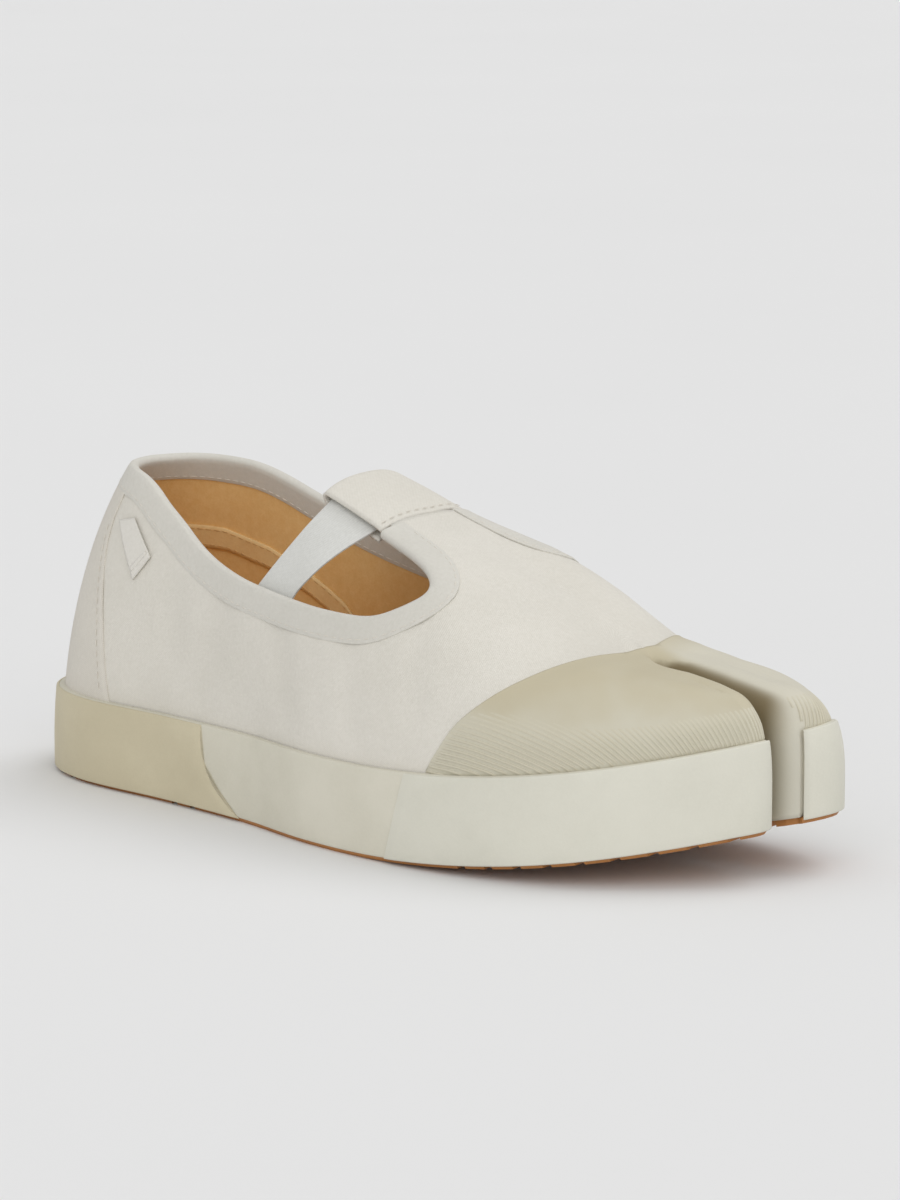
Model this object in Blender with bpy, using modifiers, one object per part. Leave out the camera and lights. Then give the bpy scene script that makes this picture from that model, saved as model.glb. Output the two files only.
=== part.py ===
"""Right-foot split-toe canvas slip-on: T bar, elastic strap, ribbed toe cap and vulcanised rubber sole."""
import math
from collections import namedtuple

import bpy
import bmesh
from mathutils import Vector
from mathutils.bvhtree import BVHTree

# Units and frame: sizes below are millimetres, x forward from the heel, y to the medial side, z up
MM = 0.001
CENTRE_X = 134.04
CENTRE_Y = -0.67

# Sole
OUTSOLE_TOP = 8.0
FOXING_LOW = 2.0
FOXING_TOP = 25.5
FOXING_THICK = 2.0
OVERLAY_THICK = 0.8
SOLE_LIP = 1.8
SOLE_LIP_TOP = 1.7
INSOLE_THICK = 3.6
SPRING_RISE = 13.5
SPRING_START = 140.0
SPRING_END = 262.0
SPRING_TURN = 0.2
GROOVE_DEPTH = 1.3
GROOVE_WIDTH = 2.4

# Upper
GAP = 0.3
WALL = 2.0
CAP_THICK = 1.2
BINDING_THICK = 0.7
BINDING_DEEP = 7.5
PANEL_THICK = 0.7
LABEL_THICK = 0.6
ELASTIC_THICK = 1.2
ELASTIC_WIDE = 17.8
LOOP_THICK = 1.3
LOOP_TUNNEL = 4.6
BAR_BACK = 116.4
BAR_SEAM = 139.4
LOOP_FRONT = BAR_SEAM - 1.5 * GAP
FEATHER = OUTSOLE_TOP + GAP

# Cross sections of the last, heel to toe: feather line each side, ridge of the instep, fullness of each side
Body = namedtuple("Body", "name lat_x lat_y med_x med_y ridge_x ridge_y ridge_z lat_full med_full steps")
BODY = (
    Body("heel_back", 2.0, 0.0, 2.0, 0.0, 66.0, 0.0, 117.5, 1.88, 1.88, 4),
    Body("heel_round", 10.5, -21.0, 10.5, 21.0, 66.0, 0.0, 117.5, 1.88, 1.88, 4),
    Body("heel_side", 33.0, -32.0, 33.0, 30.5, 70.0, 0.0, 116.5, 1.95, 1.95, 3),
    Body("quarter", 72.0, -34.0, 72.0, 29.0, 84.0, 1.0, 111.0, 2.1, 2.2, 3),
    Body("waist", 108.0, -37.5, 112.0, 30.0, 113.0, 2.0, 99.5, 2.7, 2.7, 3),
    Body("instep", 141.0, -44.0, 147.0, 35.0, 140.0, 5.0, 88.0, 2.7, 2.9, 3),
    Body("ball", 176.0, -45.5, 184.0, 42.0, 168.0, 9.0, 78.0, 2.6, 3.0, 3),
    Body("toe_root", 206.0, -41.0, 214.0, 44.0, 204.0, 12.0, 60.7, 2.8, 3.0, 3),
)

# Cross sections of the two toe lobes, root to tip: outer side, side facing the slit, ridge, fullness of each
Lobe = namedtuple("Lobe", "name out_x out_y slit_x slit_y ridge_x ridge_y ridge_z out_full slit_full")
LATERAL_LOBE = (
    Lobe("fourth_toe", 229.0, -31.0, 222.0, 10.6, 216.0, 2.0, 54.8, 2.8, 3.4),
    Lobe("third_toe", 246.0, -15.5, 242.0, 9.8, 229.0, 0.8, 53.0, 2.8, 3.6),
    Lobe("second_toe", 257.5, -1.0, 257.5, 8.6, 239.5, 1.6, 51.2, 2.9, 3.6),
    Lobe("lateral_tip", 261.5, 4.9, 261.5, 4.9, 246.0, 2.6, 50.0, 3.0, 3.0),
)
MEDIAL_LOBE = (
    Lobe("big_toe_root", 237.0, 44.0, 222.0, 16.6, 217.0, 22.0, 54.8, 2.8, 3.4),
    Lobe("big_toe_mid", 254.0, 40.5, 243.0, 17.6, 231.0, 27.5, 52.0, 2.8, 3.6),
    Lobe("big_toe_end", 263.5, 34.0, 259.0, 19.6, 242.0, 28.2, 49.8, 2.8, 3.4),
    Lobe("medial_tip", 266.0, 26.5, 266.0, 26.5, 248.5, 27.5, 49.2, 2.8, 2.8),
)
SLIT_END = (219.0, 13.6, 2.4)

# Height of the collar along the shoe on each side
Collar = namedtuple("Collar", "x lateral_z medial_z")
COLLAR = (
    Collar(10.0, 92.0, 92.0),
    Collar(30.0, 92.5, 92.5),
    Collar(48.0, 90.0, 91.5),
    Collar(60.0, 83.0, 89.5),
    Collar(78.0, 73.0, 83.5),
    Collar(97.0, 67.5, 76.5),
    Collar(125.0, 64.5, 70.0),
    Collar(150.0, 63.6, 67.5),
    Collar(160.0, 64.6, 67.5),
    Collar(166.0, 67.0, 69.0),
)
COLLAR_FRONT = 161.0

# Edge of the T bar seen from above, front of the cut-out back to the loop
Bar = namedtuple("Bar", "x lateral_y medial_y")
BAR = (
    Bar(168.5, -26.0, 26.5),
    Bar(167.2, -22.0, 22.8),
    Bar(162.5, -19.0, 20.3),
    Bar(155.0, -17.4, 19.0),
    Bar(146.0, -16.6, 18.2),
    Bar(139.4, -16.2, 17.8),
)
BAR_HALF_LAT = -16.0
BAR_HALF_MED = 17.5

# Back edge of the toe cap seen from above, lateral side to medial side
CapEdge = namedtuple("CapEdge", "x y")
CAP_EDGE = (
    CapEdge(176.0, -60.0),
    CapEdge(181.0, -47.0),
    CapEdge(190.0, -42.0),
    CapEdge(199.0, -35.0),
    CapEdge(206.0, -25.0),
    CapEdge(210.5, -13.0),
    CapEdge(212.5, 0.0),
    CapEdge(213.0, 14.0),
    CapEdge(211.0, 27.0),
    CapEdge(205.0, 37.0),
    CapEdge(196.0, 45.0),
    CapEdge(188.0, 60.0),
)


def spring(x, y):
    """Toe spring: how far the sole lifts off the floor."""
    t = (x + SPRING_TURN * (y - 10.0) - SPRING_START) / (SPRING_END - SPRING_START)
    return SPRING_RISE * max(0.0, t) ** 2


def catmull(a, b, c, d, t):
    """Point of a smooth curve between b and c."""
    out = []
    for p, q, r, s in zip(a, b, c, d):
        out.append(0.5 * (2 * q + (r - p) * t + (2 * p - 5 * q + 4 * r - s) * t ** 2
                          + (3 * q - p - 3 * r + s) * t ** 3))
    return tuple(out)


def outline_rows():
    """Feather line round the shoe and into the slit, heel back first, lateral side first."""
    rows = [(b.lat_x, b.lat_y, b.lat_full) for b in BODY]
    rows += [(r.out_x, r.out_y, r.out_full) for r in LATERAL_LOBE]
    rows += [(r.slit_x, r.slit_y, r.slit_full) for r in reversed(LATERAL_LOBE[:-1])]
    rows.append(SLIT_END)
    rows += [(r.slit_x, r.slit_y, r.slit_full) for r in MEDIAL_LOBE]
    rows += [(r.out_x, r.out_y, r.out_full) for r in reversed(MEDIAL_LOBE[:-1])]
    rows += [(b.med_x, b.med_y, b.med_full) for b in reversed(BODY[1:])]
    return rows


def ridge_of(row):
    """Ridge point of a table row."""
    return (row.ridge_x, row.ridge_y, row.ridge_z)


def beyond(a, b):
    """Point past b on the line from a."""
    return tuple(2 * q - p for p, q in zip(a, b))


ROWS = outline_rows()
SPANS = len(ROWS)
MAIN = [ridge_of(b) for b in BODY]
LATERAL = [MAIN[-1]] + [ridge_of(r) for r in LATERAL_LOBE]
MEDIAL = [MAIN[-1]] + [ridge_of(r) for r in MEDIAL_LOBE]
FORK = tuple((p + q) / 2 for p, q in zip(LATERAL[1], MEDIAL[1]))
RIDGES = {
    "main": [beyond(MAIN[1], MAIN[0])] + MAIN + [FORK],
    "lateral": [MAIN[-2]] + LATERAL + [beyond(LATERAL[-2], LATERAL[-1])],
    "medial": [MAIN[-2]] + MEDIAL + [beyond(MEDIAL[-2], MEDIAL[-1])],
}
N_BODY = len(BODY) - 1
N_LOBE = len(LATERAL_LOBE)
AT_LATERAL_TIP = N_BODY + N_LOBE
AT_SLIT = AT_LATERAL_TIP + N_LOBE
AT_MEDIAL_TIP = AT_SLIT + N_LOBE
AT_MEDIAL_ROOT = AT_MEDIAL_TIP + N_LOBE
TAPE_END = 0.62
LATERAL_STEP = 0.22
MEDIAL_STEP = 0.1
LOBE_STEPS = 3
LATERAL_END = AT_LATERAL_TIP + TAPE_END
MEDIAL_END = AT_MEDIAL_TIP - TAPE_END


def ridge_at(s):
    """Ridge point that the section at s climbs to."""
    i = int(math.floor(s))
    t = s - i
    i %= SPANS
    if i < N_BODY:
        name, j = "main", i
    elif i < AT_LATERAL_TIP:
        name, j = "lateral", i - N_BODY
    elif i < AT_SLIT:
        name, j, t = "lateral", AT_SLIT - 1 - i, 1.0 - t
    elif i < AT_MEDIAL_TIP:
        name, j = "medial", i - AT_SLIT
    elif i < AT_MEDIAL_ROOT:
        name, j, t = "medial", AT_MEDIAL_ROOT - 1 - i, 1.0 - t
    else:
        name, j, t = "main", SPANS - 1 - i, 1.0 - t
    rows = RIDGES[name]
    return catmull(rows[j], rows[j + 1], rows[j + 2], rows[j + 3], t)


def base_at(s):
    """Feather line and fullness at s."""
    i = int(math.floor(s))
    t = s - i
    return catmull(ROWS[(i - 1) % SPANS], ROWS[i % SPANS], ROWS[(i + 1) % SPANS], ROWS[(i + 2) % SPANS], t)


def profile(s, t):
    """Point of the upper's outside: t runs 0 at the feather line to 1 on the ridge."""
    x, y, full = base_at(s)
    rx, ry, rz = ridge_at(s)
    foot = FEATHER + spring(x, y)
    a = t * math.pi / 2
    f = 1.0 - max(0.0, math.cos(a)) ** (2 / full) if t < 1.0 else 1.0
    g = math.sin(a) ** (2 / full) if t < 1.0 else 1.0
    return Vector((x + (rx - x) * f, y + (ry - y) * f, foot + (rz - foot) * g))


def level(s, h):
    """Value of t where the wall stands h above the sole's own bottom line."""
    x, y, full = base_at(s)
    foot = FEATHER + spring(x, y)
    g = (h + spring(x, y) - foot) / (ridge_at(s)[2] - foot)
    return math.asin(min(1.0, max(0.0, g)) ** (full / 2)) * 2 / math.pi


def wall_at(s, h):
    """Point of the wall h above the sole's bottom line; below the feather line it drops straight."""
    x, y, full = base_at(s)
    if h <= FEATHER:
        return Vector((x, y, h + spring(x, y)))
    return profile(s, level(s, h))


def skin(s, h, out):
    """Wall point moved level outwards by a distance."""
    p = wall_at(s, h)
    run = wall_at(s + 0.02, h) - wall_at(s - 0.02, h)
    side = Vector((run.y, -run.x, 0.0)).normalized()
    q = p + out * side
    q.z += spring(q.x, q.y) - spring(p.x, p.y)
    return q


def lobe_samples(step):
    """Places along a toe lobe from its root, with two where the tape ends and the cap takes over."""
    lobe = [i + k / LOBE_STEPS for i in range(N_LOBE) for k in range(LOBE_STEPS)]
    ends = [N_LOBE - TAPE_END - step, N_LOBE - TAPE_END]
    return sorted([u for u in lobe if min(abs(u - e) for e in ends) > 0.12] + ends)


def samples():
    """Places round the outline where every piece has its sections; both sides of a ridge share them."""
    body = [i + k / BODY[i].steps for i in range(N_BODY) for k in range(BODY[i].steps)]
    lateral = lobe_samples(LATERAL_STEP)
    medial = lobe_samples(MEDIAL_STEP)
    out = body + [N_BODY + u for u in lateral] + [AT_LATERAL_TIP] + [AT_SLIT - u for u in reversed(lateral[1:])]
    out += [AT_SLIT + u for u in medial] + [AT_MEDIAL_TIP] + [AT_MEDIAL_ROOT - u for u in reversed(medial)]
    return out + [SPANS - u for u in reversed(body[1:])]


STATIONS = samples()
TOP_STEPS = 6
LOW_ROWS = (FEATHER, 17.0, FOXING_TOP + GAP)


def column(s):
    """Points of one section of the upper from the feather line to the ridge, closer where it bends."""
    points = [wall_at(s, h) for h in LOW_ROWS]
    start = level(s, LOW_ROWS[-1])
    fine = [profile(s, start + (1.0 - start) * k / 60) for k in range(61)]
    runs = [b - a for a, b in zip(fine, fine[1:])]
    length = sum(r.length for r in runs)
    bend = sum(a.angle(b) for a, b in zip(runs, runs[1:]))
    reach = [0.0]
    for i, r in enumerate(runs):
        turn = runs[i - 1].angle(r) if i else 0.0
        reach.append(reach[-1] + r.length / length + turn / bend)
    for k in range(1, TOP_STEPS):
        want = reach[-1] * k / TOP_STEPS
        i = max(j for j in range(61) if reach[j] <= want)
        t = i + (want - reach[i]) / (reach[i + 1] - reach[i])
        points.append(profile(s, start + (1.0 - start) * t / 60))
    return points + [fine[-1]]


def scene_point(p):
    """Millimetres on the last to metres in the part's frame."""
    return Vector(((p.x - CENTRE_X) * MM, (p.y - CENTRE_Y) * MM, p.z * MM))


def finish(bm, name, collection, smooth):
    """Turns a mesh under work into a named object."""
    mesh = bpy.data.meshes.new(name)
    for face in bm.faces:
        face.smooth = smooth
    bm.to_mesh(mesh)
    bm.free()
    obj = bpy.data.objects.new(name, mesh)
    collection.objects.link(obj)
    return obj


def loft(sections, name, collection, ring=False, smooth=True):
    """Solid through closed sections with the same number of points, capped unless it runs round a ring."""
    bm = bmesh.new()
    rows = [[bm.verts.new(scene_point(p)) for p in section] for section in sections]
    pairs = list(zip(rows, rows[1:]))
    if ring:
        pairs.append((rows[-1], rows[0]))
    for a, b in pairs:
        for k in range(len(a)):
            n = (k + 1) % len(a)
            bm.faces.new((a[k], b[k], b[n], a[n]))
    if not ring:
        bm.faces.new(rows[0])
        bm.faces.new(list(reversed(rows[-1])))
    bmesh.ops.remove_doubles(bm, verts=bm.verts, dist=0.000002)
    bmesh.ops.recalc_face_normals(bm, faces=bm.faces)
    return finish(bm, name, collection, smooth)


def grid_sheet(columns, ring):
    """Open sheet through columns of points, welded where they meet."""
    bm = bmesh.new()
    rows = [[bm.verts.new(scene_point(p)) for p in col] for col in columns]
    pairs = list(zip(rows, rows[1:]))
    if ring:
        pairs.append((rows[-1], rows[0]))
    for a, b in pairs:
        n = min(len(a), len(b))
        a, b = a[len(a) - n:], b[len(b) - n:]
        for k in range(n - 1):
            bm.faces.new((a[k], b[k], b[k + 1]))
            bm.faces.new((a[k], b[k + 1], a[k + 1]))
    bmesh.ops.remove_doubles(bm, verts=bm.verts, dist=0.00002)
    bmesh.ops.dissolve_degenerate(bm, edges=bm.edges, dist=0.00002)
    bm.normal_update()
    return bm


def lift(bm, distance):
    """Moves an open sheet along its own normals."""
    bm.normal_update()
    moves = []
    for v in bm.verts:
        way = sum((f.normal * f.calc_area() for f in v.link_faces), Vector())
        moves.append((v, way.normalized()))
    for v, n in moves:
        v.co += n * distance * MM


def add_solidify(obj, thick, outward):
    """Gives an open sheet a real wall."""
    mod = obj.modifiers.new("wall", "SOLIDIFY")
    mod.thickness = thick * MM
    mod.offset = 1.0 if outward else -1.0
    mod.use_even_offset = False
    mod.use_quality_normals = True
    mod.use_rim = True


def add_boolean(obj, cutter, operation):
    """Cuts one solid with another."""
    mod = obj.modifiers.new("cut", "BOOLEAN")
    mod.operation = operation
    mod.solver = "EXACT"
    mod.object = cutter


def colour(name, red, green, blue, roughness):
    """Plain material from a colour read off the photograph in screen values."""
    def linear(c):
        c = c / 255.0
        return c / 12.92 if c <= 0.04045 else ((c + 0.055) / 1.055) ** 2.4
    mat = bpy.data.materials.new(name)
    mat.use_nodes = True
    shader = mat.node_tree.nodes["Principled BSDF"]
    shader.inputs["Base Color"].default_value = (linear(red), linear(green), linear(blue), 1.0)
    shader.inputs["Roughness"].default_value = roughness
    shader.inputs["Metallic"].default_value = 0.0
    mat.diffuse_color = shader.inputs["Base Color"].default_value
    return mat


def collar_height(x, medial):
    """Collar height at x, smooth between the rows of the table."""
    rows = [(r.x, r.medial_z if medial else r.lateral_z) for r in COLLAR]
    x = min(max(x, rows[0][0]), rows[-1][0])
    i = max(k for k in range(len(rows) - 1) if rows[k][0] <= x)
    before = rows[i - 1] if i else beyond(rows[1], rows[0])
    after = rows[i + 2] if i + 2 < len(rows) else beyond(rows[i], rows[i + 1])
    t = (x - rows[i][0]) / (rows[i + 1][0] - rows[i][0])
    return catmull(before, rows[i], rows[i + 1], after, t)[1]


def collar_point(s, drop=0.0):
    """Point of the section at s that lies on the collar line, or a distance under it."""
    medial = s > AT_SLIT
    low, high = 0.0, 1.0
    for _ in range(40):
        mid = (low + high) / 2
        p = profile(s, mid)
        if p.z < collar_height(p.x, medial) - drop:
            low = mid
        else:
            high = mid
    return profile(s, low)


def clear_scene():
    """Starts from nothing."""
    for obj in list(bpy.data.objects):
        bpy.data.objects.remove(obj)


def new_collection(name):
    """A collection in the scene."""
    col = bpy.data.collections.new(name)
    bpy.context.scene.collection.children.link(col)
    return col


def hide_cutter(obj):
    """Cutters are kept out of the picture."""
    obj.hide_render = True
    obj.display_type = "WIRE"


clear_scene()
SHOE = new_collection("split_toe_slip_on")
CUTTERS = new_collection("cutters")

# The last as one open sheet, and a tree to find points on it
last = grid_sheet([column(s) for s in STATIONS], True)
TREE = BVHTree.FromBMesh(last)


def drop_on(x, y):
    """Point of the last under a place seen from above."""
    start = scene_point(Vector((x, y, 200.0)))
    hit = TREE.ray_cast(start, Vector((0.0, 0.0, -1.0)))[0]
    return Vector((x, y, hit.z / MM))


def nearest(p):
    """Point of the last nearest to p, with the way out of it."""
    hit, normal, index, far = TREE.find_nearest(scene_point(p))
    return Vector((hit.x / MM + CENTRE_X, hit.y / MM + CENTRE_Y, hit.z / MM)), normal


def opening_loop():
    """Edge of the opening: heel, lateral quarter and cut-out, T bar, medial cut-out and quarter."""
    lateral = [collar_point(s) for s in STATIONS if 0.0 < s < N_BODY]
    medial = [collar_point(s) for s in STATIONS if s > AT_MEDIAL_ROOT]
    lateral = [p for p in lateral if p.x < COLLAR_FRONT]
    medial = [p for p in medial if p.x < COLLAR_FRONT]
    lateral += [drop_on(r.x, r.lateral_y) for r in BAR]
    medial = [drop_on(r.x, r.medial_y) for r in reversed(BAR)] + medial
    return lateral, medial


def edge_curve():
    """Open curve along the edge from the medial side of the T bar round the heel to its lateral side."""
    lateral, medial = opening_loop()
    rows = medial + [collar_point(0.0)] + lateral
    curve = []
    for i in range(len(rows) - 1):
        before = rows[i - 1] if i else Vector(beyond(rows[1], rows[0]))
        after = rows[i + 2] if i + 2 < len(rows) else Vector(beyond(rows[i], rows[i + 1]))
        steps = 2 if min(i, len(rows) - 2 - i) < len(BAR) else 1
        curve += [Vector(catmull(before, rows[i], rows[i + 1], after, k / steps)) for k in range(steps)]
    curve.append(rows[-1])
    return curve


EDGE = edge_curve()


# Upper: one canvas shell, cut open at the collar and the two cut-outs
def opening_cutter():
    """Solid that takes the opening out of the shell square to its wall."""
    edge = EDGE + [drop_on(BAR_SEAM, y) for y in (-10.0, 0.0, 10.0)]
    over, under, top, bottom = [], [], [], []
    for p in edge:
        normal = nearest(p)[1]
        over.append(p + 7.0 * normal)
        under.append(p - 6.0 * normal)
        top.append(Vector((over[-1].x, over[-1].y, 170.0)))
        bottom.append(Vector((under[-1].x, under[-1].y, 32.0)))
    return loft([top, over, under, bottom], "cut_opening", CUTTERS, smooth=False)


cut_opening = opening_cutter()
hide_cutter(cut_opening)
upper = finish(last.copy(), "upper", SHOE, True)
add_solidify(upper, WALL, False)
add_boolean(upper, cut_opening, "DIFFERENCE")


# Toe cap: moulded rubber over both lobes and down the walls of the slit
def cap_columns():
    """Sections of the cap; in the slit they reach down beside the sole."""
    out = []
    for s in STATIONS:
        if N_BODY - 1.7 < s < SPANS - N_BODY + 1.7:
            inside = LATERAL_END < s < MEDIAL_END
            points = column(s)
            if inside:
                points = [wall_at(s, FOXING_LOW)] + points
            else:
                points = points[2:]
            out.append(points)
    return out


def cap_cutter():
    """Everything in front of the cap's back edge."""
    rim = [(p.x, p.y) for p in CAP_EDGE]
    curve = []
    for i in range(len(rim) - 1):
        a = rim[i - 1] if i else beyond(rim[1], rim[0])
        d = rim[i + 2] if i + 2 < len(rim) else beyond(rim[i], rim[i + 1])
        curve += [catmull(a, rim[i], rim[i + 1], d, k / 3) for k in range(3)]
    curve += [rim[-1], (290.0, 60.0), (290.0, -60.0)]
    rings = [[Vector((x, y, z)) for x, y in curve] for z in (-10.0, 100.0)]
    return loft(rings, "cut_cap", CUTTERS, smooth=False)


cut_cap = cap_cutter()
hide_cutter(cut_cap)
cap_sheet = grid_sheet(cap_columns(), False)
lift(cap_sheet, GAP)
toe_cap = finish(cap_sheet, "toe_cap", SHOE, True)
add_solidify(toe_cap, CAP_THICK, True)
add_boolean(toe_cap, cut_cap, "INTERSECT")


# Outsole and insole: flat outlines with the slit in them, bent up by the toe spring
def bent_plate(rings, name):
    """Plate through stacked outlines, split across its length and lifted by the toe spring."""
    bm = bmesh.new()
    rows = [[bm.verts.new(p) for p in ring] for ring in rings]
    for a, b in zip(rows, rows[1:]):
        for k in range(len(a)):
            n = (k + 1) % len(a)
            bm.faces.new((a[k], b[k], b[n], a[n]))
    bm.faces.new(rows[0])
    bm.faces.new(list(reversed(rows[-1])))
    normal = Vector((1.0, SPRING_TURN, 0.0)).normalized()
    for k in range(9):
        x = SPRING_START + 14.0 * k
        geom = list(bm.verts) + list(bm.edges) + list(bm.faces)
        bmesh.ops.bisect_plane(bm, geom=geom, dist=0.0001, plane_co=Vector((x, 10.0, 0.0)), plane_no=normal)
    for v in bm.verts:
        v.co = scene_point(Vector((v.co.x, v.co.y, v.co.z + spring(v.co.x, v.co.y))))
    bmesh.ops.recalc_face_normals(bm, faces=bm.faces)
    return finish(bm, name, SHOE, False)


def outline(h, out, slit_out):
    """Closed outline of the last moved outwards, with its own distance in the slit."""
    points = []
    for s in STATIONS:
        inside = LATERAL_END < s < MEDIAL_END
        p = skin(s, min(h, FEATHER), slit_out if inside else out)
        points.append(Vector((p.x, p.y, h)))
    return points


def groove_cutter():
    """Row of straight grooves across the forefoot and the heel, square to the toe spring."""
    bm = bmesh.new()
    places = [10.0, 18.0, 66.0, 74.0] + [188.0 + 8.6 * k for k in range(9)]
    turn = math.atan(SPRING_TURN)
    for x in places:
        slope = math.atan((spring(x + 1.0, 10.0) - spring(x - 1.0, 10.0)) / 2.0)
        made = bmesh.ops.create_cube(bm, size=1.0)["verts"]
        for v in made:
            p = Vector((v.co.x * GROOVE_WIDTH, v.co.y * 140.0, v.co.z * 2.0 * GROOVE_DEPTH))
            p = Vector((p.x * math.cos(slope) - p.z * math.sin(slope), p.y,
                        p.x * math.sin(slope) + p.z * math.cos(slope)))
            turned_x = p.x * math.cos(turn) - p.y * math.sin(turn)
            turned_y = p.x * math.sin(turn) + p.y * math.cos(turn)
            p = Vector((turned_x, turned_y, p.z))
            v.co = scene_point(p + Vector((x, 10.0, spring(x, 10.0))))
    bmesh.ops.recalc_face_normals(bm, faces=bm.faces)
    return finish(bm, "cut_grooves", CUTTERS, False)


outsole = bent_plate([
    outline(0.0, SOLE_LIP - 0.6, 0.0),
    outline(0.7, SOLE_LIP, 0.0),
    outline(SOLE_LIP_TOP, SOLE_LIP, 0.0),
    outline(SOLE_LIP_TOP + 0.01, 0.0, -0.01),
    outline(OUTSOLE_TOP, 0.0, -0.01),
], "outsole")
cut_grooves = groove_cutter()
hide_cutter(cut_grooves)
add_boolean(outsole, cut_grooves, "DIFFERENCE")
insole = bent_plate([
    outline(FEATHER, -WALL - GAP, -WALL - 2 * GAP),
    outline(FEATHER + INSOLE_THICK, -WALL - 2 * GAP, -WALL - 3 * GAP),
], "insole")


# Foxing: rubber tape round the sole from one side of the slit to the other, with wraps over it
def tape(start, end, inner, thick, name, lean_start=0.0, lean_end=0.0):
    """Band between two places on the outline; its ends may lean along the shoe from bottom to top."""
    outer = inner + thick
    cut = 0.45 * thick
    if inner == GAP:
        top = FOXING_TOP
        ring = [(FOXING_LOW, inner), (FEATHER, inner), (17.0, inner), (top, inner)]
    else:
        top = FOXING_TOP - 0.45 * FOXING_THICK
        ring = [(FOXING_LOW, inner), (top, inner)]
    ring += [(top, outer - cut), (top - cut, outer), (FOXING_LOW, outer)]
    high = FOXING_TOP - FOXING_LOW
    stations = sorted(s - SPANS if s > end else s for s in STATIONS)
    places = [start] + [s for s in stations if start < s < end] + [end]
    sections = []
    for s in places:
        section = []
        for h, out in ring:
            rise = ((h - FOXING_LOW) / high) ** 2
            section.append(skin(min(max(s, start + lean_start * rise), end + lean_end * rise), h, out))
        sections.append(section)
    return loft(sections, name, SHOE)


TAPE_OUT = GAP + FOXING_THICK + GAP
LATERAL_STOP = LATERAL_END - 0.08
MEDIAL_STOP = MEDIAL_END + 0.04
foxing = tape(MEDIAL_STOP - SPANS, LATERAL_STOP, GAP, FOXING_THICK, "foxing")
heel_wrap = tape(-3.85, 3.85, TAPE_OUT, OVERLAY_THICK, "heel_wrap", 0.42, -0.42)
toe_bumper_lateral = tape(5.75, LATERAL_STOP, TAPE_OUT, OVERLAY_THICK, "toe_bumper_lateral", 0.35, 0.0)
toe_bumper_medial = tape(MEDIAL_STOP, SPANS - 5.75, TAPE_OUT, OVERLAY_THICK, "toe_bumper_medial", 0.0, -0.35)


# Collar binding: folded tape along the cut edge from one side of the T bar to the other
def binding_sections():
    """U sections over the edge of the wall."""
    sections = []
    for i, p in enumerate(EDGE):
        a, b = EDGE[max(0, i - 1)], EDGE[min(len(EDGE) - 1, i + 1)]
        centre, normal = nearest(p)
        along = (b - a).normalized()
        away = along.cross(normal).normalized()
        legs = [nearest(centre + away * d) for d in (0.0, BINDING_DEEP * 0.5, BINDING_DEEP)]
        near = GAP + 0.3 + 0.5 * min(1.0, max(0.0, (p.x - 138.0) / 22.0))
        far = near + BINDING_THICK
        lip = -near * away
        crest = -far * away
        outer = [q + near * n for q, n in legs]
        outside = [q + far * n for q, n in legs]
        inner = [q - (WALL + near) * n for q, n in legs]
        inside = [q - (WALL + far) * n for q, n in legs]
        ring = [outer[2], outer[1], outer[0] + lip, inner[0] + lip, inner[2]]
        ring += [inside[2], inside[0] + lip, inner[0] + crest, outer[0] + crest]
        ring += [outside[0] + lip, outside[1], outside[2]]
        sections.append(ring)
    return sections


collar_binding = loft(binding_sections(), "collar_binding", SHOE)


# Strap loop: the end of the T bar folded round the elastic
def loop_sections():
    """Flat tube across the bar; each section runs across the shoe once on the outside and once inside."""
    deep = LOOP_TUNNEL + 2.0 * LOOP_THICK
    across = [BAR_HALF_LAT + (BAR_HALF_MED - BAR_HALF_LAT) * k / 6 for k in range(7)]
    path = []
    n_long = 5
    for k in range(n_long + 1):
        path.append((LOOP_FRONT - (LOOP_FRONT - BAR_BACK - deep / 2) * k / n_long, 0.0, "top"))
    for k in range(1, 6):
        path.append((BAR_BACK + deep / 2, math.pi * k / 6, "turn"))
    for k in range(n_long + 1):
        path.append((BAR_BACK + deep / 2 + (LOOP_FRONT - BAR_BACK - deep / 2) * k / n_long, 0.0, "under"))
    sections = []
    for x, turn, part in path:
        outer, inner = [], []
        for y in across:
            p = drop_on(x, y)
            slope_x = (drop_on(x + 1.0, y).z - drop_on(x - 1.0, y).z) / 2.0
            slope_y = (drop_on(x, y + 1.5).z - drop_on(x, y - 1.5).z) / 3.0
            up = Vector((-slope_x, -slope_y, 1.0)).normalized()
            back = Vector((-1.0, 0.0, -slope_x)).normalized()
            centre = p - up * deep / 2
            small = deep / 2 - LOOP_THICK
            if part == "top":
                outer.append(p)
                inner.append(p - up * LOOP_THICK)
            elif part == "under":
                outer.append(p - up * deep)
                inner.append(p - up * (deep - LOOP_THICK))
            else:
                way = up * math.cos(turn) + back * math.sin(turn)
                outer.append(centre + way * deep / 2)
                inner.append(centre + way * small)
        sections.append(outer + list(reversed(inner)))
    return sections


def loop_front(sections):
    """Joins the two layers of the loop in front of the elastic so that the tube is closed round it."""
    first, last_section = sections[0], sections[-1]
    n = len(first) // 2
    top_out, top_in = first[:n], first[n:]
    low_out, low_in = last_section[:n], last_section[n:]
    mid_out = [(a + b) / 2 for a, b in zip(top_out, low_out)]
    back = Vector((-LOOP_THICK, 0.0, LOOP_THICK * 0.6))
    mid_in = [(a + b) / 2 + back for a, b in zip(top_in, low_in)]
    first[n:] = [a + back for a in top_in]
    last_section[n:] = [a + back for a in low_in]
    return sections + [mid_out + mid_in]


strap_loop = loft(loop_front(loop_sections()), "strap_loop", SHOE, ring=True)


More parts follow.
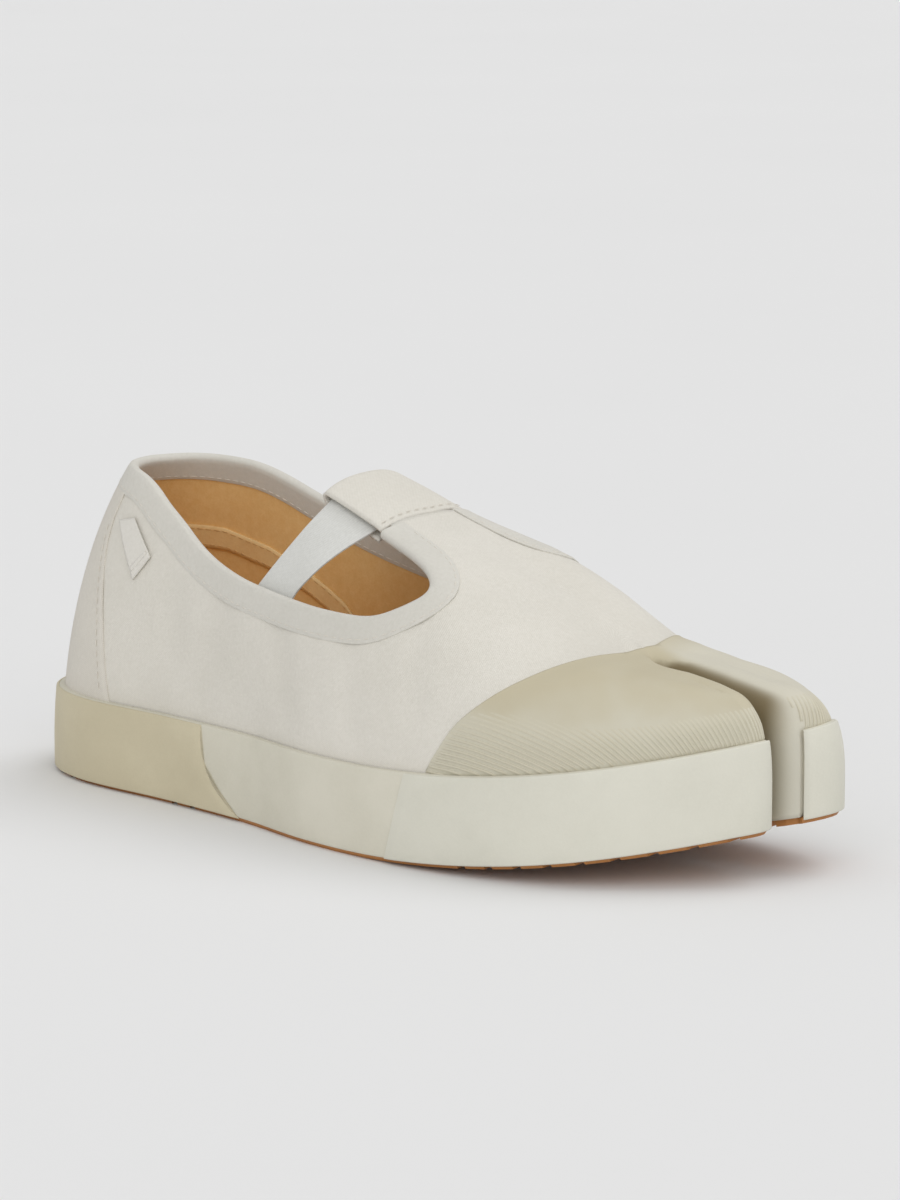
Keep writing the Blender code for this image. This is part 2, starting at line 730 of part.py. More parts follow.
# Elastic strap: flat band over the instep, through the loop and down inside both quarters
def elastic_sections():
    """Sections of the band, found by looking out from a line inside the shoe."""
    out = []
    turns = 18
    for k in range(turns + 1):
        a = math.radians(-66.0 + 130.0 * k / turns)
        share = min(1.0, max(0.0, abs(a) - math.radians(22.0)) / math.radians(36.0))
        middle = (BAR_BACK + BAR_SEAM) / 2 - 19.0 * share ** 1.3
        upper_side, under_side = [], []
        for w in (-0.5, 0.0, 0.5):
            x = middle + w * ELASTIC_WIDE
            start = scene_point(Vector((x, 0.0, 45.0)))
            hit, normal, index, far = TREE.ray_cast(start, Vector((0.0, math.sin(a), math.cos(a))))
            p = Vector((hit.x / MM + CENTRE_X, hit.y / MM + CENTRE_Y, hit.z / MM))
            depth = WALL + 3.5 * GAP + BINDING_THICK
            upper_side.append(p - normal * depth)
            under_side.append(p - normal * (depth + ELASTIC_THICK))
        out.append(upper_side + list(reversed(under_side)))
    return out


elastic_strap = loft(elastic_sections(), "elastic_strap", SHOE)


# Heel panel and label: flat patches laid on the outside of the upper
def patch(rows, thick, name):
    """Patch through rows of points on the last."""
    sheet = grid_sheet(rows, False)
    bmesh.ops.recalc_face_normals(sheet, faces=sheet.faces)
    middle = sum((f.normal for f in sheet.faces), Vector())
    outward = sum((nearest(Vector(p))[1] for row in rows for p in row), Vector())
    if middle.dot(outward) < 0.0:
        bmesh.ops.reverse_faces(sheet, faces=sheet.faces)
    lift(sheet, 1.5 * GAP)
    obj = finish(sheet, name, SHOE, True)
    add_solidify(obj, thick, True)
    return obj


def heel_rows():
    """Sections of the heel panel from the foxing up to the binding."""
    rows = []
    for s in [s - SPANS for s in STATIONS if s > SPANS - 2.3] + [s for s in STATIONS if s < 2.3]:
        low = level(s, FOXING_TOP + 2 * GAP)
        top = collar_point(s % SPANS, BINDING_DEEP + 1.6)
        high = level(s, top.z)
        rows.append([profile(s, low + (high - low) * k / 4) for k in range(5)])
    return rows


def label_rows():
    """Small blank label under the binding on the lateral heel."""
    rows = []
    for k in range(4):
        s = 2.42 + 0.09 * k
        top = collar_point(s, BINDING_DEEP + 2.4)
        low = collar_point(s - 0.03, BINDING_DEEP + 19.0)
        a, b = level(s, low.z), level(s, top.z)
        rows.append([profile(s, a + (b - a) * j / 4) for j in range(5)])
    return rows


heel_panel = patch(heel_rows(), PANEL_THICK, "heel_panel")
heel_label = patch(label_rows(), LABEL_THICK, "heel_label")
last.free()

# Colours as the eye reads them in the photograph
for obj, shade in (
    (upper, colour("canvas", 214, 210, 203, 0.9)),
    (toe_cap, colour("cap_rubber", 205, 199, 182, 0.6)),
    (outsole, colour("gum_rubber", 165, 110, 60, 0.65)),
    (insole, colour("tan_lining", 165, 120, 72, 0.75)),
    (foxing, colour("foxing_rubber", 204, 204, 190, 0.55)),
    (heel_wrap, colour("heel_rubber", 187, 178, 150, 0.55)),
    (toe_bumper_lateral, colour("bumper_rubber", 211, 211, 198, 0.55)),
    (toe_bumper_medial, colour("bumper_rubber_medial", 211, 211, 198, 0.55)),
    (collar_binding, colour("binding_tape", 208, 206, 198, 0.85)),
    (strap_loop, colour("loop_canvas", 212, 208, 201, 0.9)),
    (elastic_strap, colour("elastic_webbing", 208, 208, 203, 0.8)),
    (heel_panel, colour("panel_canvas", 210, 206, 197, 0.9)),
    (heel_label, colour("label_tape", 222, 219, 210, 0.8)),
):
    obj.data.materials.append(shade)
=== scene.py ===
# %% [markdown]
# # A split-toe canvas slip-on
# The imported CAD model says where every piece of the shoe is and how big it is. This lesson dresses that
# model: it rebuilds each piece as a fine, smooth mesh from the same sections of the shoemaker's last, adds
# what only shows close up (lining, stitches, ribs, creases) and gives every surface a finish made of shader
# nodes. The script starts by loading the frame and keeping its box, from which the camera is placed.

# %% Load the frame
import math
from collections import namedtuple

import bmesh
import bpy
from mathutils import Matrix, Vector, noise
from mathutils.bvhtree import BVHTree
from mathutils.kdtree import KDTree


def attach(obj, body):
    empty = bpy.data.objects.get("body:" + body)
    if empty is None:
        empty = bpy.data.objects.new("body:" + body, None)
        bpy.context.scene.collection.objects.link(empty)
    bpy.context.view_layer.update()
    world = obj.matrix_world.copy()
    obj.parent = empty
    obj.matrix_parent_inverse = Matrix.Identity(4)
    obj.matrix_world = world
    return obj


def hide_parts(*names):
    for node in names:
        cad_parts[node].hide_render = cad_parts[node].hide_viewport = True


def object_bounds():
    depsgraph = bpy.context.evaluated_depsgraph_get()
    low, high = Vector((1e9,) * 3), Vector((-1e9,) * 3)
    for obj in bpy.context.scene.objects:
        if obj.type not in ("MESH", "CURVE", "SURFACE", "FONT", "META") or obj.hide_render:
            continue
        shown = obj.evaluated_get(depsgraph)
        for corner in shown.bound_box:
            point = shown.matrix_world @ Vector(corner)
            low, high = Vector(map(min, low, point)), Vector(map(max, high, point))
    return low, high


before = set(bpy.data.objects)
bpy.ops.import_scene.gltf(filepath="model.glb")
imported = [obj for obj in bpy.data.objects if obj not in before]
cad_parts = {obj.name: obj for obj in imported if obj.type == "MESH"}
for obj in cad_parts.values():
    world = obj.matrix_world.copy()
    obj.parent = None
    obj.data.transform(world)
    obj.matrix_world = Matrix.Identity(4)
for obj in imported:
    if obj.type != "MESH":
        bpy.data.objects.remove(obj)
cad_low, cad_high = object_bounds()
MM = 0.001
print("nodes in the frame:", ", ".join(sorted(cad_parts)))

# %% [markdown]
# ## Camera
# A product photo is taken with a long lens from some way off. The view direction is fixed by two angles and
# kept; the camera then slides sideways and up, without turning, until the shoe sits where it should in the
# frame. From there it looks down on the shoe by seven tenths of a degree more, which the angle below allows
# for. The lens is worked out last, so that the shoe fills a chosen share of the picture's width.

# %% Place the camera
VIEW_AZIMUTH = math.radians(44.5)
VIEW_ELEVATION = math.radians(9.8)
VIEW_DISTANCE = 1.4
IMAGE_WIDE = 900
IMAGE_HIGH = 1200
SHARE_OF_WIDTH = 0.88
HEIGHT_OF_SHOE_IN_FRAME = 0.45
SENSOR = 36.0

right = Vector((math.cos(VIEW_AZIMUTH), math.sin(VIEW_AZIMUTH), 0.0))
back = Vector((math.sin(VIEW_AZIMUTH) * math.cos(VIEW_ELEVATION),
               -math.cos(VIEW_AZIMUTH) * math.cos(VIEW_ELEVATION),
               math.sin(VIEW_ELEVATION)))
up = back.cross(right)
corners = [v.co.copy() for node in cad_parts.values() for v in node.data.vertices]


def seen_extent(eye):
    """Lowest and highest slope, across and up, at which the camera sees the shoe."""
    seen = [((p - eye).dot(right), (p - eye).dot(up), (eye - p).dot(back)) for p in corners]
    across = [x / depth for x, y, depth in seen]
    upward = [y / depth for x, y, depth in seen]
    return min(across), max(across), min(upward), max(upward)


eye = (cad_low + cad_high) / 2 + back * VIEW_DISTANCE
for _ in range(3):
    left_edge, right_edge, low_edge, high_edge = seen_extent(eye)
    width_seen = right_edge - left_edge
    frame_high = width_seen / SHARE_OF_WIDTH * IMAGE_HIGH / IMAGE_WIDE
    eye += right * (left_edge + right_edge) / 2 * VIEW_DISTANCE
    eye += up * ((low_edge + high_edge) / 2 + (0.5 - HEIGHT_OF_SHOE_IN_FRAME) * frame_high) * VIEW_DISTANCE
camera = bpy.data.objects.new("camera", bpy.data.cameras.new("camera"))
bpy.context.scene.collection.objects.link(camera)
camera.data.sensor_width = SENSOR
camera.data.lens = SENSOR / frame_high
camera.location = eye
camera.rotation_mode = "QUATERNION"
camera.rotation_quaternion = back.to_track_quat("Z", "Y")
camera.data.clip_start = 0.05
camera.data.clip_end = 60.0
bpy.context.scene.camera = camera
print("lens %.1f mm at %.2f m" % (camera.data.lens, VIEW_DISTANCE))

# %% [markdown]
# ## Studio
# The shoe stands on a plain pale floor that runs far back, so no horizon shows. Two sun lamps with a very
# wide angle stand in for the big soft boxes of a studio: they light the floor evenly however far it runs,
# and their width keeps the shadows soft. The world adds an even light from everywhere, as white studio
# walls do.

# %% Light the studio
FLOOR_HALF = 14.0
WORLD_LIGHT = 0.6
Lamp = namedtuple("Lamp", "name place width power")
LAMPS = (
    Lamp("key_lamp", (0.3, 0.8, 1.35), 42.0, 0.76),
    Lamp("fill_lamp", (0.9, -1.0, 0.75), 70.0, 1.0),
)

scene = bpy.context.scene
scene.view_settings.view_transform = "Standard"
floor_mesh = bmesh.new()
bmesh.ops.create_grid(floor_mesh, x_segments=2, y_segments=2, size=FLOOR_HALF)
floor = bpy.data.objects.new("studio_floor", bpy.data.meshes.new("studio_floor"))
floor_mesh.to_mesh(floor.data)
floor_mesh.free()
scene.collection.objects.link(floor)
world = bpy.data.worlds.new("studio_walls")
world.use_nodes = True
world.node_tree.nodes["Background"].inputs["Color"].default_value = (1.0, 1.0, 1.0, 1.0)
world.node_tree.nodes["Background"].inputs["Strength"].default_value = WORLD_LIGHT
scene.world = world


def soft_lamp(row):
    """Sun lamp as wide as a soft box, width in degrees, that shines from its place onto the shoe."""
    lamp = bpy.data.objects.new(row.name, bpy.data.lights.new(row.name, "SUN"))
    lamp.data.angle = math.radians(row.width)
    lamp.data.energy = row.power
    lamp.location = row.place
    lamp.rotation_mode = "QUATERNION"
    lamp.rotation_quaternion = Vector(row.place).to_track_quat("Z", "Y")
    scene.collection.objects.link(lamp)


for row in LAMPS:
    soft_lamp(row)

# %% [markdown]
# ## A short hand for shader nodes
# A finish is a small sum: some noise times a scale plus a weave. Written as node after node that is hard to
# read, so one class wraps a socket. Adding or multiplying two of them adds a Math node, `node` makes any
# other node, and `mix` blends two colours. Numbers that do not change over the surface go straight onto the
# Principled shader.

# %% Wrap a socket
class Shade:
    """A value in a finish. Arithmetic on it adds Math nodes."""

    def __init__(self, tree, socket=None):
        self.tree = tree
        self.socket = socket

    def node(self, kind, settings=None, sockets=None, out=0):
        """Makes a node: settings first, then the values or links of its sockets."""
        made = self.tree.nodes.new(kind)
        for name, value in (settings or {}).items():
            setattr(made, name, value)
        for name, value in (sockets or {}).items():
            if isinstance(value, Shade):
                self.tree.links.new(value.socket, made.inputs[name])
            else:
                made.inputs[name].default_value = value
        return Shade(self.tree, made.outputs[out])

    def maths(self, operation, first, second=0.0):
        """One Math node."""
        return self.node("ShaderNodeMath", {"operation": operation}, {0: first, 1: second})

    def __add__(self, other):
        return self.maths("ADD", self, other)

    __radd__ = __add__

    def __sub__(self, other):
        return self.maths("SUBTRACT", self, other)

    def __rsub__(self, other):
        return self.maths("SUBTRACT", other, self)

    def __mul__(self, other):
        return self.maths("MULTIPLY", self, other)

    __rmul__ = __mul__

    def sine(self):
        """Sine of the value."""
        return self.maths("SINE", self)

    def between(self, low, high):
        """0 below low, 1 above high and a soft step between."""
        settings = {"interpolation_type": "SMOOTHSTEP", "clamp": True}
        return self.node("ShaderNodeMapRange", settings, {"Value": self, "From Min": low, "From Max": high})

    def mix(self, first, second):
        """Colour that goes from first to second with the value."""
        return self.node("ShaderNodeMix", {"data_type": "RGBA"}, {0: self, 6: first, 7: second}, out=2)


def linear(red, green, blue):
    """Colour of screen values 0 to 255 in the shader's own linear values."""
    def curve(c):
        c /= 255.0
        return c / 12.92 if c <= 0.04045 else ((c + 0.055) / 1.055) ** 2.4
    return (curve(red), curve(green), curve(blue), 1.0)


class Finish:
    """A material with one Principled shader."""

    def __init__(self, name, roughness):
        self.material = bpy.data.materials.new(name)
        self.material.use_nodes = True
        self.tree = self.material.node_tree
        self.shader = self.tree.nodes["Principled BSDF"]
        self.shader.inputs["Roughness"].default_value = roughness
        self.shader.inputs["Metallic"].default_value = 0.0
        self.start = Shade(self.tree)
        self.place = self.start.node("ShaderNodeTexCoord", out=3)

    def feed(self, name, value):
        """Links a value to a socket of the shader."""
        self.tree.links.new(value.socket, self.shader.inputs[name])

    def fix(self, name, value):
        """Sets a socket that is the same all over."""
        self.shader.inputs[name].default_value = value

    def noise(self, scale, detail=2.0, rough=0.5):
        """Cloudy value around one half, scale in features a metre."""
        sockets = {"Vector": self.place, "Scale": scale, "Detail": detail, "Roughness": rough}
        return self.start.node("ShaderNodeTexNoise", None, sockets)

    def grain(self, scale, out=0):
        """Distance to the nearest of many scattered points, scale in points a metre."""
        return self.start.node("ShaderNodeTexVoronoi", None, {"Vector": self.place, "Scale": scale}, out=out)

    def split(self, place):
        """The three numbers of a place."""
        return [self.start.node("ShaderNodeSeparateXYZ", None, {"Vector": place}, out=k) for k in range(3)]

    def cloth(self):
        """The piece's own cloth map in millimetres: across and along the threads."""
        across, along = self.split(self.start.node("ShaderNodeUVMap", {"uv_map": "cloth"}))[:2]
        return across * CLOTH_UNIT, along * CLOTH_UNIT

    def bump(self, height, strength, depth):
        """Relief that only the light sees, depth in metres."""
        sockets = {"Height": height, "Strength": strength, "Distance": depth}
        self.feed("Normal", self.start.node("ShaderNodeBump", None, sockets))


CLOTH_UNIT = 100.0
TURN = 2.0 * math.pi
print("shader helper ready")

# %% [markdown]
# ## Finishes
# Each finish starts from the colour that the eye reads in the photograph and then gets what the real
# material has: canvas a plain weave with uneven threads, rubber a cloudy tone and a faint skin, leather a
# pebbled grain, elastic its cross ribs. The relief is far below a millimetre, so it is a bump and not
# geometry.

# %% Floor
floor_finish = Finish("pale_floor", 0.75)
floor_tone = floor_finish.noise(3.0)
floor_finish.feed("Base Color", floor_tone.mix((0.80, 0.80, 0.80, 1.0), (0.82, 0.82, 0.82, 1.0)))
floor.data.materials.append(floor_finish.material)


# %% Cloth finishes
def woven(name, tone, shade, pitch, roughness=0.92):
    """Plain weave of a given pitch in millimetres: threads over and under, slubs and a cloudy tone."""
    finish = Finish(name, roughness)
    across, along = finish.cloth()
    weave = (across * (TURN / pitch)).sine() * (along * (TURN / pitch)).sine()
    slub = finish.noise(900.0, 2.0)
    cloud = finish.noise(28.0, 3.0, 0.6)
    dust = finish.noise(9.0, 2.0)
    mask = weave * 0.16 + slub * 0.35 + cloud * 0.45 + dust * 0.2
    finish.feed("Base Color", mask.between(0.2, 0.85).mix(linear(*shade), linear(*tone)))
    finish.bump(weave * 0.5 + slub * 0.9 + finish.noise(160.0) * 1.2, 0.55, 0.00012)
    finish.fix("Sheen Weight", 0.12)
    finish.fix("Sheen Roughness", 0.6)
    finish.fix("Specular IOR Level", 0.25)
    return finish.material


def webbing(name, tone, shade, rib):
    """Elastic: fine ribs across the band, threads along it."""
    finish = Finish(name, 0.85)
    across, along = finish.cloth()
    ribs = (along * (TURN / rib)).sine()
    threads = (across * (TURN / (rib * 0.7))).sine()
    fuzz = finish.noise(1100.0)
    mask = ribs * 0.06 + threads * 0.05 + fuzz * 0.5 + finish.noise(40.0) * 0.4
    finish.feed("Base Color", mask.between(0.15, 0.8).mix(linear(*shade), linear(*tone)))
    finish.bump(ribs * 0.25 + threads * 0.2 + fuzz * 0.4, 0.4, 0.0001)
    finish.fix("Sheen Weight", 0.1)
    finish.fix("Specular IOR Level", 0.3)
    return finish.material


def thread(name, tone, shade, roughness):
    """Sewing thread: fine light and dark fibres."""
    finish = Finish(name, roughness)
    finish.feed("Base Color", finish.noise(1500.0).mix(linear(*shade), linear(*tone)))
    return finish.material


canvas_finish = woven("canvas", (228, 224, 215), (212, 208, 197), 0.62)
panel_finish = woven("heel_canvas", (224, 219, 209), (208, 203, 192), 0.62)
tape_finish = woven("binding_tape", (222, 219, 211), (206, 203, 193), 0.45, 0.86)
label_finish = woven("bare_label", (236, 233, 226), (222, 218, 208), 0.3, 0.8)
elastic_finish = webbing("elastic_webbing", (224, 224, 220), (208, 208, 203), 0.8)
thread_finish = thread("off_white_thread", (232, 227, 217), (206, 200, 188), 0.7)
tan_thread_finish = thread("tan_thread", (222, 184, 130), (196, 152, 96), 0.65)
print("cloth finishes ready")


# %% Leather and rubber finishes
def hide(name, tone, shade):
    """Smooth tan lining leather with a pebbled grain and worn, paler patches."""
    finish = Finish(name, 0.6)
    pebble = finish.grain(1500.0)
    cloud = finish.noise(22.0, 4.0, 0.6)
    fleck = finish.noise(420.0, 3.0, 0.65)
    mask = cloud * 0.75 + fleck * 0.35 + pebble * 0.12
    finish.feed("Base Color", mask.between(0.3, 0.85).mix(linear(*shade), linear(*tone)))
    finish.feed("Roughness", 0.5 + cloud * 0.25)
    finish.bump(pebble * 0.6 + fleck * 0.7, 0.35, 0.00015)
    finish.fix("Specular IOR Level", 0.35)
    return finish.material


def rubber(name, tone, shade, roughness, skin=0.5):
    """Vulcanised rubber: cloudy tone, faint flow marks and a fine matt skin."""
    finish = Finish(name, roughness)
    cloud = finish.noise(14.0, 3.0, 0.55)
    smear = finish.noise(60.0, 4.0, 0.65)
    dot = finish.noise(1400.0, 2.0)
    mask = cloud * 0.6 + smear * 0.35 + dot * 0.12
    finish.feed("Base Color", mask.between(0.3, 0.78).mix(linear(*shade), linear(*tone)))
    finish.feed("Roughness", smear * 0.22 + (roughness - 0.11))
    finish.bump(dot * 0.35 + smear * 1.1, skin, 0.00018)
    finish.fix("Specular IOR Level", 0.35)
    return finish.material


# Painted light: the lining, counter band and sock get much lighter tan colours than the leather has, standing
# in for the light inside the shoe.
lining_finish = hide("tan_lining", (246, 210, 148), (230, 184, 118))
band_finish = hide("counter_band", (248, 218, 162), (232, 194, 136))
sock_finish = hide("tan_sock", (226, 184, 130), (206, 160, 106))
foxing_finish = rubber("foxing_rubber", (218, 214, 199), (203, 199, 182), 0.55)
heel_finish = rubber("heel_rubber", (211, 202, 175), (196, 186, 158), 0.55)
bumper_finish = rubber("bumper_rubber", (219, 217, 204), (206, 204, 190), 0.5)
gum_finish = rubber("gum_rubber", (182, 126, 72), (158, 102, 54), 0.55)
print("leather and rubber finishes ready")


# %% Toe cap finish
def cap_rubber():
    """Cap rubber: cream at the sides, beige on top, painted light that makes the big toe paler, painted shade
    in the slit.
    """
    finish = Finish("cap_rubber", 0.58)
    along, across, height = finish.split(finish.place)
    cloud = finish.noise(26.0, 3.0, 0.6)
    smear = finish.noise(90.0, 4.0, 0.6)
    dot = finish.noise(1500.0)
    warm = (height + cloud * 0.02).between(0.046, 0.066) * 0.75 + cloud * 0.25
    cool = linear(204, 200, 183)
    beige = (warm + smear * 0.2).between(0.1, 1.0).mix(cool, linear(193, 184, 158))
    # Painted light: the big toe's slit side and top are made paler, as if more brightly lit.
    big_toe = across.between(0.016, 0.021) * (1.0 - across.between(0.034, 0.044)) * along.between(0.072, 0.09)
    before_slit_shade = (big_toe * 0.7).mix(beige, linear(212, 209, 196))
    # Painted shade: a dark brown is laid on the slit walls, where the deep, narrow slit lies in shade.
    painted_slit_shade = finish.start.node("ShaderNodeAttribute", {"attribute_name": "slit"}, out=2)
    finish.feed("Base Color", (painted_slit_shade * 0.9).mix(before_slit_shade, linear(122, 106, 72)))
    finish.feed("Roughness", smear * 0.2 + 0.48)
    finish.bump(dot * 0.4 + smear * 0.9, 0.5, 0.00015)
    finish.fix("Specular IOR Level", 0.35)
    return finish.material


cap_finish = cap_rubber()
rib_finish = rubber("rib_rubber", (206, 201, 183), (196, 189, 166), 0.58)
print("cap finish ready")

# %% [markdown]
# ## The last
# A shoe is built round a last, a solid form of the foot. Here the last is a table: each row gives the
# feather line, where upper and sole meet, on both sides, the ridge over the instep and how full the wall
# between them is. The toe splits into two lobes with a slit between. One number, s, runs round the whole
# outline and a second, t, climbs from the feather line to the ridge, so every piece of the shoe can be laid
# out on the same two numbers.

# %% Sections of the last
ORIGIN = Vector((134.04, -0.67, 0.0))
FOXING_LOW = 2.0
FOXING_TOP = 25.5
FEATHER = 8.3
SPRING_RISE = 13.5
SPRING_START = 140.0
SPRING_END = 262.0
SPRING_TURN = 0.2

Body = namedtuple("Body", "name lat_x lat_y med_x med_y ridge_x ridge_y ridge_z lat_full med_full")
BODY = (
    Body("heel_back", 2.0, 0.0, 2.0, 0.0, 66.0, 0.0, 117.5, 1.88, 1.88),
    Body("heel_round", 10.5, -21.0, 10.5, 21.0, 66.0, 0.0, 117.5, 1.88, 1.88),
    Body("heel_side", 33.0, -32.0, 33.0, 30.5, 70.0, 0.0, 116.5, 1.95, 1.95),
    Body("quarter", 72.0, -34.0, 72.0, 29.0, 84.0, 1.0, 111.0, 2.1, 2.2),
    Body("waist", 108.0, -37.5, 112.0, 30.0, 113.0, 2.0, 99.5, 2.7, 2.7),
    Body("instep", 141.0, -44.0, 147.0, 35.0, 140.0, 5.0, 88.0, 2.7, 2.9),
    Body("ball", 176.0, -45.5, 184.0, 42.0, 168.0, 9.0, 78.0, 2.6, 3.0),
    Body("toe_root", 206.0, -41.0, 214.0, 44.0, 204.0, 12.0, 60.7, 2.8, 3.0),
)
Lobe = namedtuple("Lobe", "name out_x out_y slit_x slit_y ridge_x ridge_y ridge_z out_full slit_full")
LATERAL_LOBE = (
    Lobe("fourth_toe", 229.0, -31.0, 224.0, 11.4, 216.0, 2.0, 54.8, 2.8, 4.2),
    Lobe("third_toe", 246.0, -15.5, 242.0, 10.8, 229.0, 0.8, 53.0, 2.8, 4.8),
    Lobe("second_toe", 257.5, -1.0, 257.5, 9.0, 239.5, 1.6, 51.2, 2.9, 4.4),
    Lobe("lateral_tip", 261.5, 4.9, 261.5, 4.9, 246.0, 2.6, 50.0, 3.0, 3.0),
)
MEDIAL_LOBE = (
    Lobe("big_toe_root", 237.0, 44.0, 224.0, 15.8, 217.0, 22.0, 54.8, 2.8, 4.2),
    Lobe("big_toe_mid", 254.0, 40.5, 243.0, 16.6, 231.0, 27.5, 52.0, 2.8, 4.8),
    Lobe("big_toe_end", 263.5, 34.0, 259.0, 19.2, 242.0, 28.2, 49.8, 2.8, 4.0),
    Lobe("medial_tip", 266.0, 26.5, 266.0, 26.5, 248.5, 27.5, 49.2, 2.8, 2.8),
)
SLIT_END = (221.5, 13.6, 2.6)


def spring(x, y):
    """Toe spring: how far the sole lifts off the floor."""
    t = (x + SPRING_TURN * (y - 10.0) - SPRING_START) / (SPRING_END - SPRING_START)
    return SPRING_RISE * max(0.0, t) ** 2


def catmull(a, b, c, d, t):
    """Point of a smooth curve between b and c."""
    def one(p, q, r, s):
        return 2 * q + (r - p) * t + (2 * p - 5 * q + 4 * r - s) * t ** 2 + (3 * q - p - 3 * r + s) * t ** 3
    return tuple(0.5 * one(*row) for row in zip(a, b, c, d))


def beyond(a, b):
    """Point past b on the line from a."""
    return tuple(2 * q - p for p, q in zip(a, b))


def outline_rows():
    """Feather line round the shoe and into the slit, heel back first, lateral side first."""
    rows = [(b.lat_x, b.lat_y, b.lat_full) for b in BODY]
    rows += [(r.out_x, r.out_y, r.out_full) for r in LATERAL_LOBE]
    rows += [(r.slit_x, r.slit_y, r.slit_full) for r in reversed(LATERAL_LOBE[:-1])]
    rows.append(SLIT_END)
    rows += [(r.slit_x, r.slit_y, r.slit_full) for r in MEDIAL_LOBE]
    rows += [(r.out_x, r.out_y, r.out_full) for r in reversed(MEDIAL_LOBE[:-1])]
    return rows + [(b.med_x, b.med_y, b.med_full) for b in reversed(BODY[1:])]


def ridge_of(row):
    """Ridge point of a table row."""
    return (row.ridge_x, row.ridge_y, row.ridge_z)


ROWS = outline_rows()
SPANS = len(ROWS)
MAIN = [ridge_of(b) for b in BODY]
LATERAL = [MAIN[-1]] + [ridge_of(r) for r in LATERAL_LOBE]
MEDIAL = [MAIN[-1]] + [ridge_of(r) for r in MEDIAL_LOBE]
FORK = tuple((p + q) / 2 for p, q in zip(LATERAL[1], MEDIAL[1]))
RIDGES = {
    "main": [beyond(MAIN[1], MAIN[0])] + MAIN + [FORK],
    "lateral": [MAIN[-2]] + LATERAL + [beyond(LATERAL[-2], LATERAL[-1])],
    "medial": [MAIN[-2]] + MEDIAL + [beyond(MEDIAL[-2], MEDIAL[-1])],
}
N_BODY = len(BODY) - 1
N_LOBE = len(LATERAL_LOBE)
AT_LATERAL_TIP = N_BODY + N_LOBE
AT_SLIT = AT_LATERAL_TIP + N_LOBE
AT_MEDIAL_TIP = AT_SLIT + N_LOBE
AT_MEDIAL_ROOT = AT_MEDIAL_TIP + N_LOBE
LATERAL_END = AT_LATERAL_TIP + 0.62
MEDIAL_END = AT_MEDIAL_TIP - 0.62
print("outline of %d spans" % SPANS)


# %% Walls of the last
def ridge_at(s):
    """Ridge point that the section at s climbs to."""
    i = int(math.floor(s))
    t = s - i
    i %= SPANS
    if i < N_BODY:
        name, j = "main", i
    elif i < AT_LATERAL_TIP:
        name, j = "lateral", i - N_BODY
    elif i < AT_SLIT:
        name, j, t = "lateral", AT_SLIT - 1 - i, 1.0 - t
    elif i < AT_MEDIAL_TIP:
        name, j = "medial", i - AT_SLIT
    elif i < AT_MEDIAL_ROOT:
        name, j, t = "medial", AT_MEDIAL_ROOT - 1 - i, 1.0 - t
    else:
        name, j, t = "main", SPANS - 1 - i, 1.0 - t
    return catmull(*RIDGES[name][j:j + 4], t)


def base_at(s):
    """Feather line and fullness at s."""
    i = int(math.floor(s))
    return catmull(*[ROWS[(i + k) % SPANS] for k in (-1, 0, 1, 2)], s - i)


def profile(s, t):
    """Point of the upper's outside: t runs 0 at the feather line to 1 on the ridge."""
    x, y, full = base_at(s)
    rx, ry, rz = ridge_at(s)
    foot = FEATHER + spring(x, y)
    a = t * math.pi / 2
    f = 1.0 - max(0.0, math.cos(a)) ** (2 / full) if t < 1.0 else 1.0
    g = math.sin(a) ** (2 / full) if t < 1.0 else 1.0
    return Vector((x + (rx - x) * f, y + (ry - y) * f, foot + (rz - foot) * g))


def level(s, h):
    """Value of t where the wall stands h above the sole's own bottom line."""
    x, y, full = base_at(s)
    foot = FEATHER + spring(x, y)
    g = (h + spring(x, y) - foot) / (ridge_at(s)[2] - foot)
    return math.asin(min(1.0, max(0.0, g)) ** (full / 2)) * 2 / math.pi


def wall_at(s, h):
    """Point of the wall h above the sole's bottom line; below the feather line it drops straight."""
    if h <= FEATHER:
        x, y, full = base_at(s)
        return Vector((x, y, h + spring(x, y)))
    return profile(s, level(s, h))


def skin(s, h, out):
    """Wall point moved level outwards by a distance."""
    p = wall_at(s, h)
    run = wall_at(s + 0.02, h) - wall_at(s - 0.02, h)
    side = Vector((run.y, -run.x, 0.0)).normalized()
    q = p + out * side
    q.z += spring(q.x, q.y) - spring(p.x, p.y)
    return q


def climb(s, low, high, count):
    """Points of the section at s between two values of t, evenly spaced along the wall."""
    fine = [profile(s, low + (high - low) * k / 72) for k in range(73)]
    return evenly(fine, count)


def evenly(points, count):
    """Points spaced evenly along a line of points."""
    reach = [0.0]
    for a, b in zip(points, points[1:]):
        reach.append(reach[-1] + (b - a).length)
    out = []
    k = 0
    for j in range(count + 1):
        want = reach[-1] * j / count
        while k < len(points) - 2 and reach[k + 1] < want:
            k += 1
        step = reach[k + 1] - reach[k]
        out.append(points[k].lerp(points[k + 1], (want - reach[k]) / step if step else 0.0))
    return out


def length_of(points):
    """Length of a line of points."""
    return sum((b - a).length for a, b in zip(points, points[1:]))


def last_true(test, low, high):
    """Where a test that starts true turns false."""
    for _ in range(36):
        mid = (low + high) / 2
        if test(mid):
            low = mid
        else:
            high = mid
    return low


def read_off(rows, x):
    """Value at x on the straight lines between rows of x and value; level beyond the ends."""
    x = min(max(x, rows[0][0]), rows[-1][0])
    for (ax, a), (bx, b) in zip(rows, rows[1:]):
        if ax <= x <= bx:
            return a + (b - a) * (x - ax) / (bx - ax)


def smooth_step(low, high, x):
    """0 below low, 1 above high, soft between."""
    t = min(1.0, max(0.0, (x - low) / (high - low)))
    return t * t * (3.0 - 2.0 * t)


print("heel to toe %.1f mm" % (wall_at(AT_MEDIAL_TIP, 8).x - wall_at(0, 8).x))

